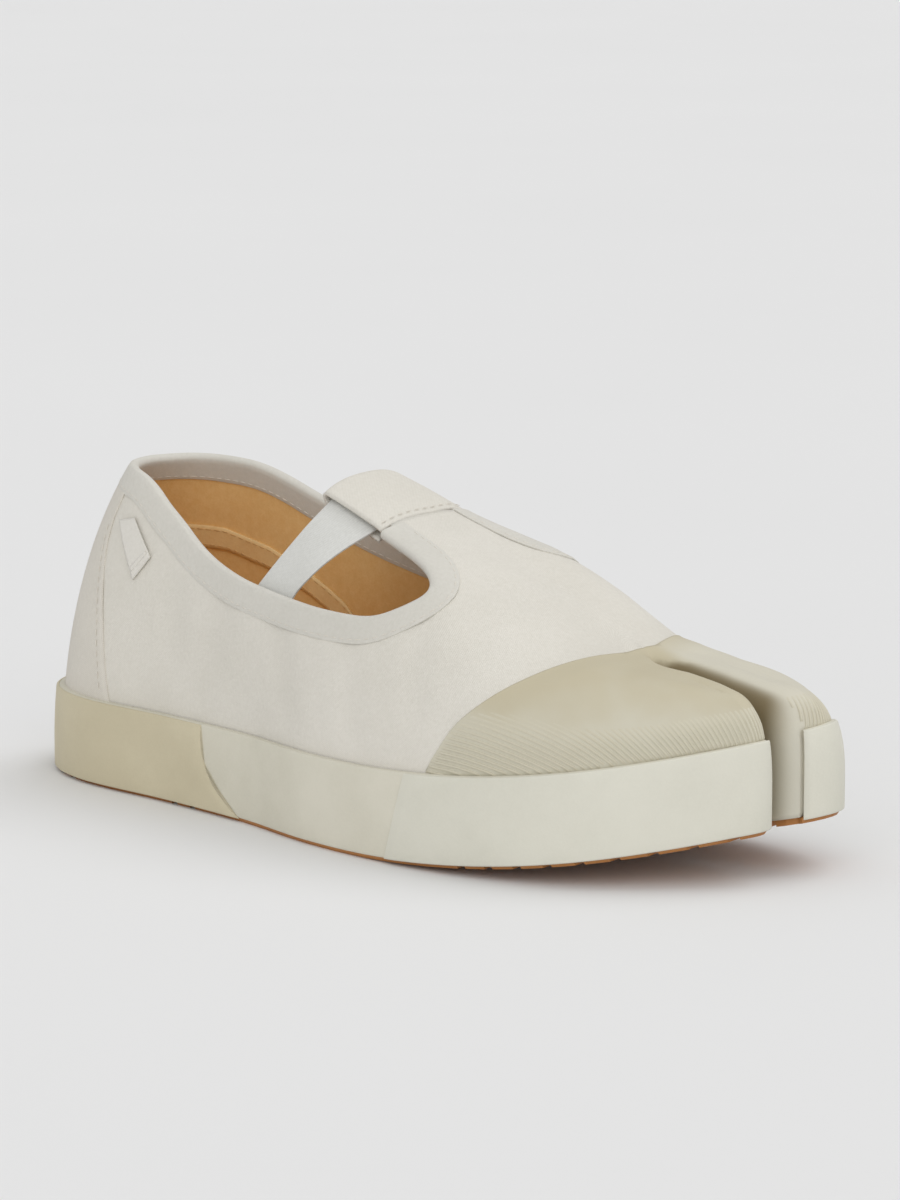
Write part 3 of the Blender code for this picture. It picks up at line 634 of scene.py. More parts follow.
# %% [markdown]
# ## From a flat grid to a piece
# Nearly every piece of a shoe is a sheet or a band: flat when it is cut, bent when it is lasted. The helper
# does the same. It starts from a flat grid, moves each corner to its place on the last and stores how far
# apart the corners were as a cloth map, so that a weave can follow the threads. Welding the seams closes
# rings.

# %% Bend a grid
def to_frame(p):
    """Millimetres on the last to metres in the frame."""
    return (p - ORIGIN) * MM


def on_last(p):
    """Frame metres to millimetres on the last."""
    return p / MM + ORIGIN


def bent_grid(columns, ring=False, tube=False):
    """Flat grid bent so that its corner i, j lies on columns[i][j]; ring and tube close it."""
    if ring:
        columns = columns + [columns[0]]
    if tube:
        columns = [c + [c[0]] for c in columns]
    wide = len(columns) - 1
    high = len(columns[0]) - 1
    across = [0.0]
    for a, b in zip(columns, columns[1:]):
        across.append(across[-1] + sum((p - q).length for p, q in zip(a, b)) / len(a))
    bm = bmesh.new()
    bmesh.ops.create_grid(bm, x_segments=wide, y_segments=high, size=0.5)
    cloth = bm.loops.layers.uv.new("cloth")
    number = bm.verts.layers.float.new("column")
    along = []
    for c in columns:
        reach = [0.0]
        for a, b in zip(c, c[1:]):
            reach.append(reach[-1] + (b - a).length)
        along.append(reach)
    for face in bm.faces:
        for loop in face.loops:
            i = round((loop.vert.co.x + 0.5) * wide)
            j = round((loop.vert.co.y + 0.5) * high)
            loop[cloth].uv = (across[i] / CLOTH_UNIT, along[i][j] / CLOTH_UNIT)
    for v in bm.verts:
        i = round((v.co.x + 0.5) * wide)
        j = round((v.co.y + 0.5) * high)
        v.co = to_frame(columns[i][j])
        v[number] = i
    bmesh.ops.remove_doubles(bm, verts=bm.verts, dist=0.000004)
    bmesh.ops.dissolve_degenerate(bm, edges=bm.edges, dist=0.000004)
    bm.normal_update()
    return bm


def piece(bm, name, material, replaces=None, sharp=40.0):
    """Turns a mesh under work into a piece of the shoe."""
    mesh = bpy.data.meshes.new(name)
    bm.to_mesh(mesh)
    bm.free()
    mesh.shade_smooth()
    mesh.set_sharp_from_angle(angle=math.radians(sharp))
    mesh.materials.append(material)
    obj = bpy.data.objects.new(name, mesh)
    scene.collection.objects.link(obj)
    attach(obj, "root")
    if replaces:
        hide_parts(replaces)
    print("%s: %d faces" % (name, len(mesh.polygons)))
    return obj


def wall(obj, thick, outward=False):
    """Gives an open sheet its thickness in millimetres."""
    mod = obj.modifiers.new("wall", "SOLIDIFY")
    mod.thickness = thick * MM
    mod.offset = 1.0 if outward else -1.0
    mod.use_even_offset = False
    return mod


def shift(bm, distance):
    """Moves every corner of a sheet along its own normal by a distance in millimetres."""
    bm.normal_update()
    for v, n in [(v, v.normal.copy()) for v in bm.verts]:
        v.co += n * distance * MM


def closed(bm):
    """Caps the open ends of a tube and turns its faces outward."""
    bmesh.ops.holes_fill(bm, edges=[e for e in bm.edges if e.is_boundary])
    bmesh.ops.recalc_face_normals(bm, faces=bm.faces)
    if bm.calc_volume(signed=True) < 0.0:
        bmesh.ops.reverse_faces(bm, faces=bm.faces)
    return bm


def faced(bm, way):
    """Turns a sheet over if its faces look away from a direction."""
    if sum((f.normal for f in bm.faces), Vector()).dot(way) < 0.0:
        bmesh.ops.reverse_faces(bm, faces=bm.faces)
    return bm


def tree_of(points):
    """Search tree of points on the last."""
    tree = KDTree(len(points))
    for number, point in enumerate(points):
        tree.insert(point, number)
    tree.balance()
    return tree


UP = Vector((0.0, 0.0, 1.0))
LATERAL_WAY = Vector((0.0, -1.0, 0.0))
RIDGE_NEAR = 6.0
FORK_NEAR = 15.0
TOE_RIDGES = [Vector(ridge_at(N_BODY + k / 12)) for k in range(12 * N_LOBE + 1)]
TOE_RIDGES += [Vector(ridge_at(AT_SLIT + k / 12)) for k in range(12 * N_LOBE + 1)]
ridge_tree = tree_of(TOE_RIDGES)


def on_ridges(bm, front):
    """Corners of a sheet near both toes' ridges and their fork, as far as a place along the shoe."""
    places = [(v, p) for v, p in ((v, on_last(v.co)) for v in bm.verts) if p.x < front]
    fork = Vector(MAIN[-1])
    return [v for v, p in places if ridge_tree.find(p)[2] < RIDGE_NEAR or (p - fork).length < FORK_NEAR]


def ease_ridges(bm, rounds, front):
    """Smooths a sheet along the ridges, because its columns meet there at an angle."""
    near = [v for v in on_ridges(bm, front) if not v.is_boundary]
    for _ in range(rounds):
        bmesh.ops.smooth_vert(bm, verts=near, factor=0.5, use_axis_x=True, use_axis_y=True, use_axis_z=True)
    bm.normal_update()


PER_SPAN = 14
UP_ROWS = 54
LAST_EASED_TO = 244.0
STATIONS = [k / PER_SPAN for k in range(SPANS * PER_SPAN)]
last_columns = [climb(s, 0.0, 1.0, UP_ROWS) for s in STATIONS]
last = bent_grid(last_columns, ring=True)
ease_ridges(last, 60, LAST_EASED_TO)
TREE = BVHTree.FromBMesh(last)
print("the last: %d faces" % len(last.faces))

# %% [markdown]
# ## Edge of the opening
# The collar drops from the heel to the side, runs forward along the quarter, turns round the front of the
# cut-out and comes back along the T bar. On paper that is two tables: the collar's height along the shoe
# and the bar's width seen from above. Both are laid on the last and joined into one smooth line that the
# binding follows.

# %% Trace the opening
Collar = namedtuple("Collar", "x lateral_z medial_z")
COLLAR = (
    Collar(10.0, 92.0, 92.0),
    Collar(30.0, 92.5, 92.5),
    Collar(48.0, 90.0, 91.5),
    Collar(60.0, 83.0, 89.5),
    Collar(78.0, 73.0, 83.5),
    Collar(97.0, 67.5, 76.5),
    Collar(125.0, 64.5, 70.0),
    Collar(150.0, 63.6, 67.5),
    Collar(160.0, 64.6, 67.5),
    Collar(166.0, 67.0, 69.0),
)
COLLAR_FRONT = 161.0
Bar = namedtuple("Bar", "x lateral_y medial_y")
BAR = (
    Bar(168.5, -26.0, 26.5),
    Bar(167.2, -22.0, 22.8),
    Bar(162.5, -19.0, 20.3),
    Bar(155.0, -17.4, 19.0),
    Bar(146.0, -16.6, 18.2),
    Bar(139.4, -16.2, 17.8),
)
BAR_SEAM = 139.4
BAR_BACK = 116.4


def collar_height(x, medial):
    """Collar height at x, smooth between the rows of the table."""
    rows = [(r.x, r.medial_z if medial else r.lateral_z) for r in COLLAR]
    x = min(max(x, rows[0][0]), rows[-1][0])
    i = max(k for k in range(len(rows) - 1) if rows[k][0] <= x)
    before = rows[i - 1] if i else beyond(rows[1], rows[0])
    after = rows[i + 2] if i + 2 < len(rows) else beyond(rows[i], rows[i + 1])
    t = (x - rows[i][0]) / (rows[i + 1][0] - rows[i][0])
    return catmull(before, rows[i], rows[i + 1], after, t)[1]


def collar_point(s, drop=0.0):
    """Point of the section at s that lies on the collar line, or a distance under it."""
    def under(t):
        p = profile(s, t)
        return p.z < collar_height(p.x, s > AT_SLIT) - drop
    return profile(s, last_true(under, 0.0, 1.0))


def drop_on(x, y):
    """Point of the last under a place seen from above."""
    hit = TREE.ray_cast(to_frame(Vector((x, y, 200.0))), Vector((0.0, 0.0, -1.0)))[0]
    return Vector((x, y, hit.z / MM))


def nearest(p):
    """Point of the last nearest to p, with the way out of it."""
    hit, normal, index, far = TREE.find_nearest(to_frame(p))
    return on_last(hit), normal


def through(rows, steps):
    """Smooth curve through points."""
    curve = []
    for i in range(len(rows) - 1):
        before = rows[i - 1] if i else Vector(beyond(rows[1], rows[0]))
        after = rows[i + 2] if i + 2 < len(rows) else Vector(beyond(rows[i], rows[i + 1]))
        curve += [Vector(catmull(before, rows[i], rows[i + 1], after, k / steps)) for k in range(steps)]
    return curve + [rows[-1]]


def opening_edge():
    """Open curve along the edge from the medial side of the T bar round the heel to its lateral side."""
    side = [k / 4 for k in range(1, 4 * N_BODY)]
    lateral = [p for p in (collar_point(s) for s in side) if p.x < COLLAR_FRONT]
    medial = [p for p in (collar_point(SPANS - s) for s in reversed(side)) if p.x < COLLAR_FRONT]
    lateral += [drop_on(r.x, r.lateral_y) for r in BAR]
    medial = [drop_on(r.x, r.medial_y) for r in reversed(BAR)] + medial
    curve = through(medial + [collar_point(0.0)] + lateral, 6)
    curve = evenly(curve, round(length_of(curve) / 1.8))
    for _ in range(8):
        eased = [(a + b) / 2 for a, b in zip(curve, curve[2:])]
        shares = [0.7 * smooth_step(142.0, 154.0, p.x) for p in curve[1:-1]]
        curve[1:-1] = [p.lerp(q, share) for p, q, share in zip(curve[1:-1], eased, shares)]
    return [nearest(p)[0] for p in curve]


EDGE = opening_edge()
edge_tree = tree_of(EDGE)
RIM = [(p.x, p.y) for p in EDGE]


def in_opening(x, y):
    """Whether a place seen from above lies inside the opening."""
    inside = False
    for (ax, ay), (bx, by) in zip(RIM, RIM[1:] + RIM[:1]):
        if (ay > y) != (by > y) and x < ax + (bx - ax) * (y - ay) / (by - ay):
            inside = not inside
    return inside


OPENING_LOW = 50.0
OPENING_FRONT = 176.0
HEEL_FRONT = 100.0
HEEL_TOP = 94.0


def open_up(bm, margin):
    """Takes the opening out of a sheet, a margin in millimetres wider than the edge."""
    gone = []
    for v in bm.verts:
        p = on_last(v.co)
        if p.z < OPENING_LOW or p.x > OPENING_FRONT:
            continue
        at_edge = edge_tree.find(p)[2] < margin and (p.x > BAR_SEAM + 2.0 or abs(p.y) > 12.0)
        if in_opening(p.x, p.y) or at_edge or (p.x < HEEL_FRONT and p.z > HEEL_TOP):
            gone.append(v)
    bmesh.ops.delete(bm, geom=gone, context="VERTS")


print("edge of the opening: %.0f mm" % length_of(EDGE))

# %% [markdown]
# ## Canvas upper and lining
# The upper is two layers: cotton duck outside and a thin tan leather inside. Lasted cloth is never quite
# flat: it pulls in short soft troughs where it is drawn round the corner of the cut-out and over the heel.
# Those creases are listed one by one, each as a line on the last with its own depth and width, and a slow
# unevenness of a few tenths of a millimetre keeps the rest from looking moulded.

# %% Place the creases
Crease = namedtuple("Crease", "start end depth width")
CREASES = (
    Crease((169.0, -27.0, 66.0), (178.0, -41.0, 44.0), 0.55, 4.5),
    Crease((175.0, -20.0, 71.0), (196.0, -27.0, 55.0), 0.35, 5.0),
    Crease((150.0, -41.5, 55.0), (158.0, -44.5, 32.0), 0.45, 5.5),
    Crease((120.0, -37.0, 55.0), (128.0, -41.0, 30.0), 0.5, 6.5),
    Crease((92.0, -33.0, 60.0), (84.0, -34.5, 32.0), 0.45, 7.0),
    Crease((64.0, -29.0, 64.0), (76.0, -33.5, 34.0), 0.35, 6.0),
    Crease((24.0, -21.0, 60.0), (20.0, -26.0, 34.0), 0.4, 6.0),
    Crease((170.0, 28.0, 66.0), (186.0, 39.0, 42.0), 0.5, 5.0),
    Crease((140.0, 31.0, 54.0), (150.0, 34.5, 32.0), 0.45, 6.0),
    Crease((100.0, 27.0, 62.0), (92.0, 29.0, 32.0), 0.45, 7.0),
    Crease((26.0, 21.0, 62.0), (22.0, 26.0, 34.0), 0.4, 6.0),
    Crease((172.0, -12.0, 77.0), (186.0, -6.0, 71.0), 0.3, 5.0),
)


def off_line(p, a, b):
    """Distance of a point from a stretch of line."""
    run = b - a
    t = min(1.0, max(0.0, (p - a).dot(run) / run.length_squared))
    return (p - a - run * t).length


def crumple(bm, share):
    """Lays the creases and the slow unevenness of lasted cloth into a sheet."""
    bm.normal_update()
    lines = [(Vector(c.start), Vector(c.end), c.depth, c.width) for c in CREASES]
    moves = []
    for v in bm.verts:
        p = on_last(v.co)
        calm = smooth_step(FOXING_TOP, FOXING_TOP + 9.0, p.z - spring(p.x, p.y))
        calm *= smooth_step(2.0, 14.0, 204.0 - p.x)
        move = 0.22 * noise.noise(p / 19.0) + 0.12 * noise.noise(p / 8.0)
        for a, b, depth, width in lines:
            d = off_line(p, a, b) / width
            if d < 3.0:
                move -= depth * (math.exp(-d * d) - 0.45 * math.exp(-(d - 1.5) ** 2 * 1.6))
        moves.append((v, v.normal * move * calm * share * MM))
    for v, move in moves:
        v.co += move


EDGE_MARGIN = 2.6
CANVAS_THICK = 0.9
LINING_IN = 1.2
LINING_THICK = 0.8
LINING_FRONT = 198.0

canvas = last.copy()
crumple(canvas, 1.0)
open_up(canvas, EDGE_MARGIN)
canvas_piece = piece(canvas, "canvas_upper", canvas_finish, "upper", 80.0)
wall(canvas_piece, CANVAS_THICK)
lining = last.copy()
toes = [v for v in lining.verts if on_last(v.co).x > LINING_FRONT]
bmesh.ops.delete(lining, geom=toes, context="VERTS")
shift(lining, -LINING_IN)
open_up(lining, EDGE_MARGIN)
lining_piece = piece(lining, "lining", lining_finish, None, 80.0)
wall(lining_piece, LINING_THICK)

# %% [markdown]
# ## Collar binding
# A narrow tape is folded over the raw edge and sewn through. Its section is a long U: two legs of about
# eight millimetres and a round crest. Sweeping that U along the edge gives the tape; every point of a leg
# is dropped onto the last so that the tape hugs the wall even where it turns sharply round the front of the
# cut-outs.

# %% Sweep the binding
OUTER_LEG = ((7.5, 0.12), (7.45, 0.45), (7.0, 0.6), (5.8, 0.62), (4.4, 0.62), (2.9, 0.64), (1.2, 0.66))
INNER_LEG = ((1.2, -2.66), (2.9, -2.64), (4.4, -2.62), (5.8, -2.62), (7.0, -2.6), (7.45, -2.45), (7.5, -2.1))
HIDDEN = ((5.0, -2.04), (1.6, -2.04), (1.6, 0.05), (5.0, 0.05))
CREST = 9


def edge_frames(points):
    """Place, way out and way down from the edge at every point of a line on the last, smoothed."""
    raw = []
    for i, p in enumerate(points):
        a, b = points[max(0, i - 1)], points[min(len(points) - 1, i + 1)]
        centre, normal = nearest(p)
        raw.append((centre, normal, (b - a).normalized()))
    frames = []
    for i, (centre, normal, run) in enumerate(raw):
        near = raw[max(0, i - 2):i + 3]
        out = sum((n for c, n, r in near), Vector()).normalized()
        along = sum((r for c, n, r in near), Vector()).normalized()
        frames.append((centre, out, along.cross(out).normalized()))
    return frames


def binding_section(centre, out, down):
    """One U over the edge."""
    ring = []
    for deep, off in OUTER_LEG:
        q, n = nearest(centre + down * deep)
        ring.append(q + off * n)
    for k in range(1, CREST):
        a = math.pi * k / CREST
        ring.append(centre + out * (-1.0 + 1.66 * math.cos(a)) - down * (1.35 * math.sin(a) - 0.3))
    for deep, off in INNER_LEG + HIDDEN:
        q, n = nearest(centre + down * deep)
        ring.append(q + off * n)
    return ring


edge_path = edge_frames(EDGE)
binding = closed(bent_grid([binding_section(*f) for f in edge_path[1:-1]], tube=True))
piece(binding, "collar_tape", tape_finish, "collar_binding", 50.0)

# %% [markdown]
# ## Toe cap
# The cap is a moulded rubber skin over both toes. It feathers out to nothing along its back edge, tucks in
# behind the foxing at the sides and lines both walls of the slit. Its columns are the last's own sections,
# each stopped at the cap's back edge; extra columns stand exactly where that edge meets the ridge of each
# toe so that no notch shows. A number kept on every corner says how far inside the slit it lies, where the
# finish paints the shade of the deep, narrow slit.

# %% Mould the cap
CapEdge = namedtuple("CapEdge", "x y")
CAP_EDGE = (
    CapEdge(176.0, -60.0),
    CapEdge(181.0, -47.0),
    CapEdge(190.0, -42.0),
    CapEdge(199.0, -35.0),
    CapEdge(206.0, -25.0),
    CapEdge(210.5, -13.0),
    CapEdge(212.5, 0.0),
    CapEdge(213.0, 14.0),
    CapEdge(211.0, 27.0),
    CapEdge(205.0, 37.0),
    CapEdge(196.0, 45.0),
    CapEdge(188.0, 60.0),
)
CAP_THICK = 1.25
CAP_PER_SPAN = 20
CAP_ROWS = 44
CAP_LOW_ROWS = 14
CREST_TURN = 4.0
CAP_EASED_TO = 230.0
CAP_SNAPPED_TO = 222.0
CAP_SETTLED_TO = 234.0
SLIT_SHADE_BACK = 251.5
SLIT_SHADE_FRONT = 261.0
TIP_EVEN = 3.0
TIP_REACH = 7.0
CAP_TUCK = FOXING_TOP - 2.5
cap_line = through([Vector((p.x, p.y, 0.0)) for p in CAP_EDGE], 8)


def ahead_of_edge(p):
    """How far a point lies in front of the cap's back edge, seen from above."""
    y = min(max(p.y, cap_line[0].y), cap_line[-1].y)
    for a, b in zip(cap_line, cap_line[1:]):
        if a.y <= y <= b.y:
            return p.x - a.x - (b.x - a.x) * (y - a.y) / (b.y - a.y)
    return -1.0


def cap_stations():
    """Places round the toes for the cap's columns; both sides of a ridge share them."""
    lateral = 1.0 - last_true(lambda u: ahead_of_edge(Vector(ridge_at(N_BODY + 1.0 - u))) > 0.0, 0.0, 1.0)
    medial = 1.0 - last_true(lambda u: ahead_of_edge(Vector(ridge_at(AT_SLIT + 1.0 - u))) > 0.0, 0.0, 1.0)
    low = N_BODY - 1.8
    count = round((SPANS - 2 * low) * CAP_PER_SPAN)
    places = [low + k / CAP_PER_SPAN for k in range(count + 1)]
    exact = [N_BODY + lateral, AT_SLIT - lateral, AT_SLIT + medial, AT_MEDIAL_ROOT - medial]
    for s in (LATERAL_END - 0.07, LATERAL_END + 0.01):
        exact += [s, 2 * AT_LATERAL_TIP - s]
    for s in (MEDIAL_END + 0.03, MEDIAL_END - 0.05):
        exact += [s, 2 * AT_MEDIAL_TIP - s]
    return sorted([s for s in places if min(abs(s - e) for e in exact) > 0.3 / CAP_PER_SPAN] + exact)


def crest_half(s, start):
    """Column that turns off before the ridge towards the other side's column, as far as the middle."""
    tip = AT_LATERAL_TIP if s < AT_SLIT else AT_MEDIAL_TIP
    ridge = Vector(ridge_at(s))
    reach = CREST_TURN * smooth_step(4.0, 14.0, ahead_of_edge(ridge))
    ends = []
    for side in (s, 2 * tip - s):
        for off in (reach + 2.0, reach):
            t = last_true(lambda u: (profile(side, u) - ridge).length > off, 0.0, 1.0)
            ends.append((profile(side, t), t))
    before, end, twin_before, twin_end = [p for p, t in ends]
    over = [Vector(catmull(before, end, twin_end, twin_before, k / 16)) for k in range(1, 9)]
    return [profile(s, start + (ends[1][1] - start) * k / 72) for k in range(73)] + over


def cap_column(s):
    """Column of the cap from the sole's bottom, behind the foxing or in the slit, up to its back edge."""
    start = level(s, CAP_TUCK)
    if ahead_of_edge(profile(s, start)) <= 0.0:
        return None
    stop = last_true(lambda t: ahead_of_edge(profile(s, t)) > 0.0, start, 1.0)
    low = [wall_at(s, FOXING_LOW + (CAP_TUCK - FOXING_LOW) * k / CAP_LOW_ROWS) for k in range(CAP_LOW_ROWS)]
    if stop > 0.9999:
        return low + evenly(crest_half(s, start), CAP_ROWS)
    return low + climb(s, start, stop, CAP_ROWS)


def cap_rise(s, p):
    """How far the cap's outside stands off the last at a place."""
    free = smooth_step(LATERAL_END - 0.06, LATERAL_END, s)
    free *= 1.0 - smooth_step(MEDIAL_END - 0.04, MEDIAL_END + 0.02, s)
    over = smooth_step(FOXING_TOP - 1.2, FOXING_TOP + 0.8, p.z - spring(p.x, p.y))
    full = 0.3 + (CAP_THICK - 0.3) * smooth_step(-1.0, 8.0, ahead_of_edge(p))
    full *= 0.45 + 0.55 * smooth_step(0.1, 0.9, abs(s - AT_SLIT))
    return full * (0.12 + 0.88 * max(free, over))


cap_places = [s for s in cap_stations() if cap_column(s)]
cap = bent_grid([cap_column(s) for s in cap_places])
ease_ridges(cap, 30, CAP_EASED_TO)
for v in on_ridges(cap, CAP_SNAPPED_TO):
    v.co = TREE.find_nearest(v.co)[0]
ease_ridges(cap, 10, CAP_SETTLED_TO)
group = cap.verts.layers.deform.verify()
painted_slit_shade = cap.verts.layers.float.new("slit")
number = cap.verts.layers.float["column"]
ways_out = {v: v.normal.copy() for v in cap.verts}
for knot in (LATERAL[-1], MEDIAL[-1]):
    tip = to_frame(Vector(knot) + Vector((3.2, 0.0, 0.0)))
    near = [v for v in cap.verts if (v.co - tip).length < TIP_REACH * MM]
    mean = sum((v.normal for v in near), Vector()).normalized()
    for v in near:
        share = 1.0 - smooth_step(TIP_EVEN, TIP_REACH, (v.co - tip).length / MM)
        ways_out[v] = v.normal.lerp(mean, share).normalized()
rises = {v: cap_rise(cap_places[round(v[number])], on_last(v.co)) for v in cap.verts}
# Painted shade: each corner stores how deep in the slit's shade it lies. The value is less towards the open
# front and only where the corner faces across the slit.
for v in cap.verts:
    inner = AT_LATERAL_TIP < cap_places[round(v[number])] < AT_MEDIAL_TIP
    hidden = 1.0 - smooth_step(SLIT_SHADE_BACK, SLIT_SHADE_FRONT, on_last(v.co).x)
    v[painted_slit_shade] = inner * hidden * smooth_step(0.45, 0.9, abs(v.normal.y))
for v, rise in rises.items():
    v.co += ways_out[v] * rise * MM
    v[group][0] = max(0.1, (rise - 0.05) / CAP_THICK)
cap.normal_update()
slices = cap.copy()
cap_piece = piece(cap, "cap_skin", cap_finish, "toe_cap", 60.0)
cap_piece.vertex_groups.new(name="thick")
cap_wall = wall(cap_piece, CAP_THICK)
cap_wall.vertex_group = "thick"

# %% [markdown]
# ## Ribs of the cap
# Fine ribs run along the cap from its back edge down to the foxing and die out over the toes. They lie in
# planes that fan out from one line along the shoe, well below it, so they stay evenly apart on the top and
# on the steep sides. A copy of the cap is cut by each plane; the cut gives the path of a rib, a strip with
# rounded edges is laid along it, and its height fades with the climb. All ribs are joined into one mesh.

# %% Raise the ribs
RIB_LINE = Vector((0.0, 10.0, -16.0))
RIB_TURN = math.radians(1.0)
RIB_HALF = 0.42
RIB_HIGH = 0.48
RIB_FULL = 3.5
RIB_SECTION = ((1.0, 0.0), (0.8, 0.6), (0.4, 0.95), (0.0, 1.0), (-0.4, 0.95), (-0.8, 0.6), (-1.0, 0.0))


def rib_reach(p):
    """How far above the foxing a rib has died out: less over the toe tips, where the cap is low."""
    return 19.0 - 8.0 * smooth_step(200.0, 240.0, p.x)


def rib_high(p):
    """Height of a rib at a place on the cap."""
    climbed = p.z - spring(p.x, p.y) - FOXING_TOP
    start = smooth_step(0.3, 3.0, ahead_of_edge(p))
    return RIB_HIGH * start * (1.0 - smooth_step(RIB_FULL, rib_reach(p), climbed))


def rib_lines(turn):
    """Lines in which the plane that leans by an angle cuts the cap."""
    everything = list(slices.verts) + list(slices.edges) + list(slices.faces)
    cut = bmesh.ops.bisect_plane(slices, geom=everything, dist=0.0000002, plane_co=to_frame(RIB_LINE),
                                 plane_no=Vector((0.0, math.cos(turn), -math.sin(turn))))["geom_cut"]
    edges = {e for e in cut if isinstance(e, bmesh.types.BMEdge)}
    beside = {}
    for e in edges:
        for v in e.verts:
            beside.setdefault(v, []).append(e)
    lines = []
    for start in [v for v in beside if len(beside[v]) == 1]:
        if not any(e in edges for e in beside[start]):
            continue
        line = [start]
        while True:
            onward = [e for e in beside[line[-1]] if e in edges]
            if not onward:
                break
            edges.discard(onward[0])
            line.append(onward[0].other_vert(line[-1]))
        lines.append([(on_last(v.co), v.normal.copy()) for v in line])
    return lines


def rib_runs(line):
    """Stretches of a line that carry a rib: above the foxing, outside the slit and before the fade."""
    runs = [[]]
    for p, n in line:
        climbed = p.z - spring(p.x, p.y) - FOXING_TOP
        outer = n.y < 0.6 if p.y < 13.0 else n.y > -0.6
        if -0.4 < climbed < rib_reach(p) and outer and ahead_of_edge(p) > 0.2:
            if not runs[-1] or (p - runs[-1][-1][0]).length > 0.4:
                runs[-1].append((p, n))
        elif runs[-1]:
            runs.append([])
    return [run for run in runs if len(run) > 5]


def rib_columns(run):
    """Flat-topped sections along a rib."""
    columns = []
    for i, (p, n) in enumerate(run):
        a, b = run[max(0, i - 1)][0], run[min(len(run) - 1, i + 1)][0]
        side = (b - a).normalized().cross(n).normalized()
        high = rib_high(p) if 0 < i < len(run) - 1 else 0.0
        columns.append([p + side * RIB_HALF * w + n * (high * rise - 0.04) for w, rise in RIB_SECTION])
    return columns


def join(target, made):
    """Adds a small mesh to a larger one."""
    mesh = bpy.data.meshes.new("part_of_many")
    made.to_mesh(mesh)
    made.free()
    target.from_mesh(mesh)
    bpy.data.meshes.remove(mesh)


ribs = bmesh.new()
rib_count = 0
for k in range(-54, 46):
    for line in rib_lines((k + 0.5) * RIB_TURN):
        slices.normal_update()
        for run in rib_runs(line):
            join(ribs, faced(bent_grid(rib_columns(run)), run[len(run) // 2][1]))
            rib_count += 1
slices.free()
piece(ribs, "cap_ribs", rib_finish, None, 70.0)
print("ribs:", rib_count)

# %% [markdown]
# ## Foxing, heel wrap and toe bumpers
# Strips of rubber are wrapped round the sole and vulcanised: one high tape all round, a khaki piece over it
# at the heel and a paler one over each toe. A strip is a closed section with softly rounded corners, swept
# round the outline; where the strip ends, the section runs out on a slant, because the rubber is cut that
# way.

# %% Wrap the sole
TAPE_IN = 0.3
TAPE_THICK = 2.0
OVER_THICK = 0.8
TAPE_LOW = FOXING_LOW - 0.9
WRAP_END = 3.9
WRAP_LEAN = 0.45
BUMPER_END = 5.92
BUMPER_LEAN = 0.2
LATERAL_STOP = LATERAL_END - 0.08
MEDIAL_STOP = MEDIAL_END + 0.04


def strip_section(inner, thick, low, high, soft):
    """Heights and distances off the last round one strip, corners rounded."""
    outer = inner + thick
    ring = [(low, inner)] + [(low + (high - low) * k / 7, inner) for k in range(1, 7)] + [(high, inner)]
    ring += [(high, outer - soft)]
    for k in range(1, 5):
        a = math.pi / 2 * k / 4
        ring.append((high - soft + soft * math.cos(a), outer - soft + soft * math.sin(a)))
    ring += [(high - soft - (high - low - 2 * soft) * k / 9, outer) for k in range(1, 9)]
    for k in range(4):
        a = math.pi / 2 * k / 3
        ring.append((low + soft - soft * math.sin(a), outer - soft + soft * math.cos(a)))
    return ring


def strip(start, end, section, lean_start=0.0, lean_end=0.0, bend=1):
    """Strip between two places on the outline; its ends may lean and bend along the shoe on their way up."""
    count = round((end - start) * 16)
    inner = min(out for h, out in section)
    thick = max(out for h, out in section) - inner
    columns = []
    for i in range(count + 1):
        column = []
        for h, out in section:
            rise = 1.0 - (1.0 - (h - FOXING_LOW) / (FOXING_TOP - FOXING_LOW)) ** bend
            first = start + lean_start * rise
            last_place = end + lean_end * rise
            s = first + (last_place - first) * i / count
            nip = 0.55 if i in (0, count) else 0.15 if i in (1, count - 1) else 0.0
            column.append(skin(s, h, out - nip * min(0.8, thick) * (out - inner) / thick))
        columns.append(column)
    return closed(bent_grid(columns, tube=True))


foxing_section = strip_section(TAPE_IN, TAPE_THICK, TAPE_LOW, FOXING_TOP, 0.6)
over_section = strip_section(TAPE_IN + TAPE_THICK - 0.05, OVER_THICK, TAPE_LOW - 0.1, FOXING_TOP - 0.2, 0.5)
foxing = strip(MEDIAL_STOP - SPANS, LATERAL_STOP, foxing_section)
piece(foxing, "foxing_tape", foxing_finish, "foxing", 50.0)
heel_wrap = strip(-WRAP_END, WRAP_END, over_section, WRAP_LEAN, -WRAP_LEAN, 3)
piece(heel_wrap, "heel_band", heel_finish, "heel_wrap", 50.0)
bumper = strip(BUMPER_END, LATERAL_STOP, over_section, BUMPER_LEAN, 0.0)
piece(bumper, "bumper_lateral", bumper_finish, "toe_bumper_lateral", 50.0)
bumper = strip(MEDIAL_STOP, SPANS - BUMPER_END, over_section, 0.0, -BUMPER_LEAN)
piece(bumper, "bumper_medial", bumper_finish, "toe_bumper_medial", 50.0)

# %% [markdown]
# ## Sole and sock
# The gum outsole keeps its CAD shape, because its flat grooves are right already; it only gets its finish.
# The sock, the tan sheet the foot stands on, is rebuilt: its columns run from the outline to the line under
# the ridge and its edge rises a little where it meets the wall.

# %% Lay the sock
def sock_column(s):
    """From the wall to the middle of the sock."""
    rim = skin(s, FEATHER, -1.6)
    rx, ry, rz = ridge_at(s)
    points = []
    for k in range(21):
        t = k / 20
        x = rim.x + (rx - rim.x) * t
        y = rim.y + (ry - rim.y) * t
        cup = 2.2 * (1.0 - smooth_step(0.0, 0.35, t)) * (1.0 - smooth_step(100.0, 170.0, x))
        points.append(Vector((x, y, FEATHER + 3.6 + spring(x, y) + cup)))
    return points


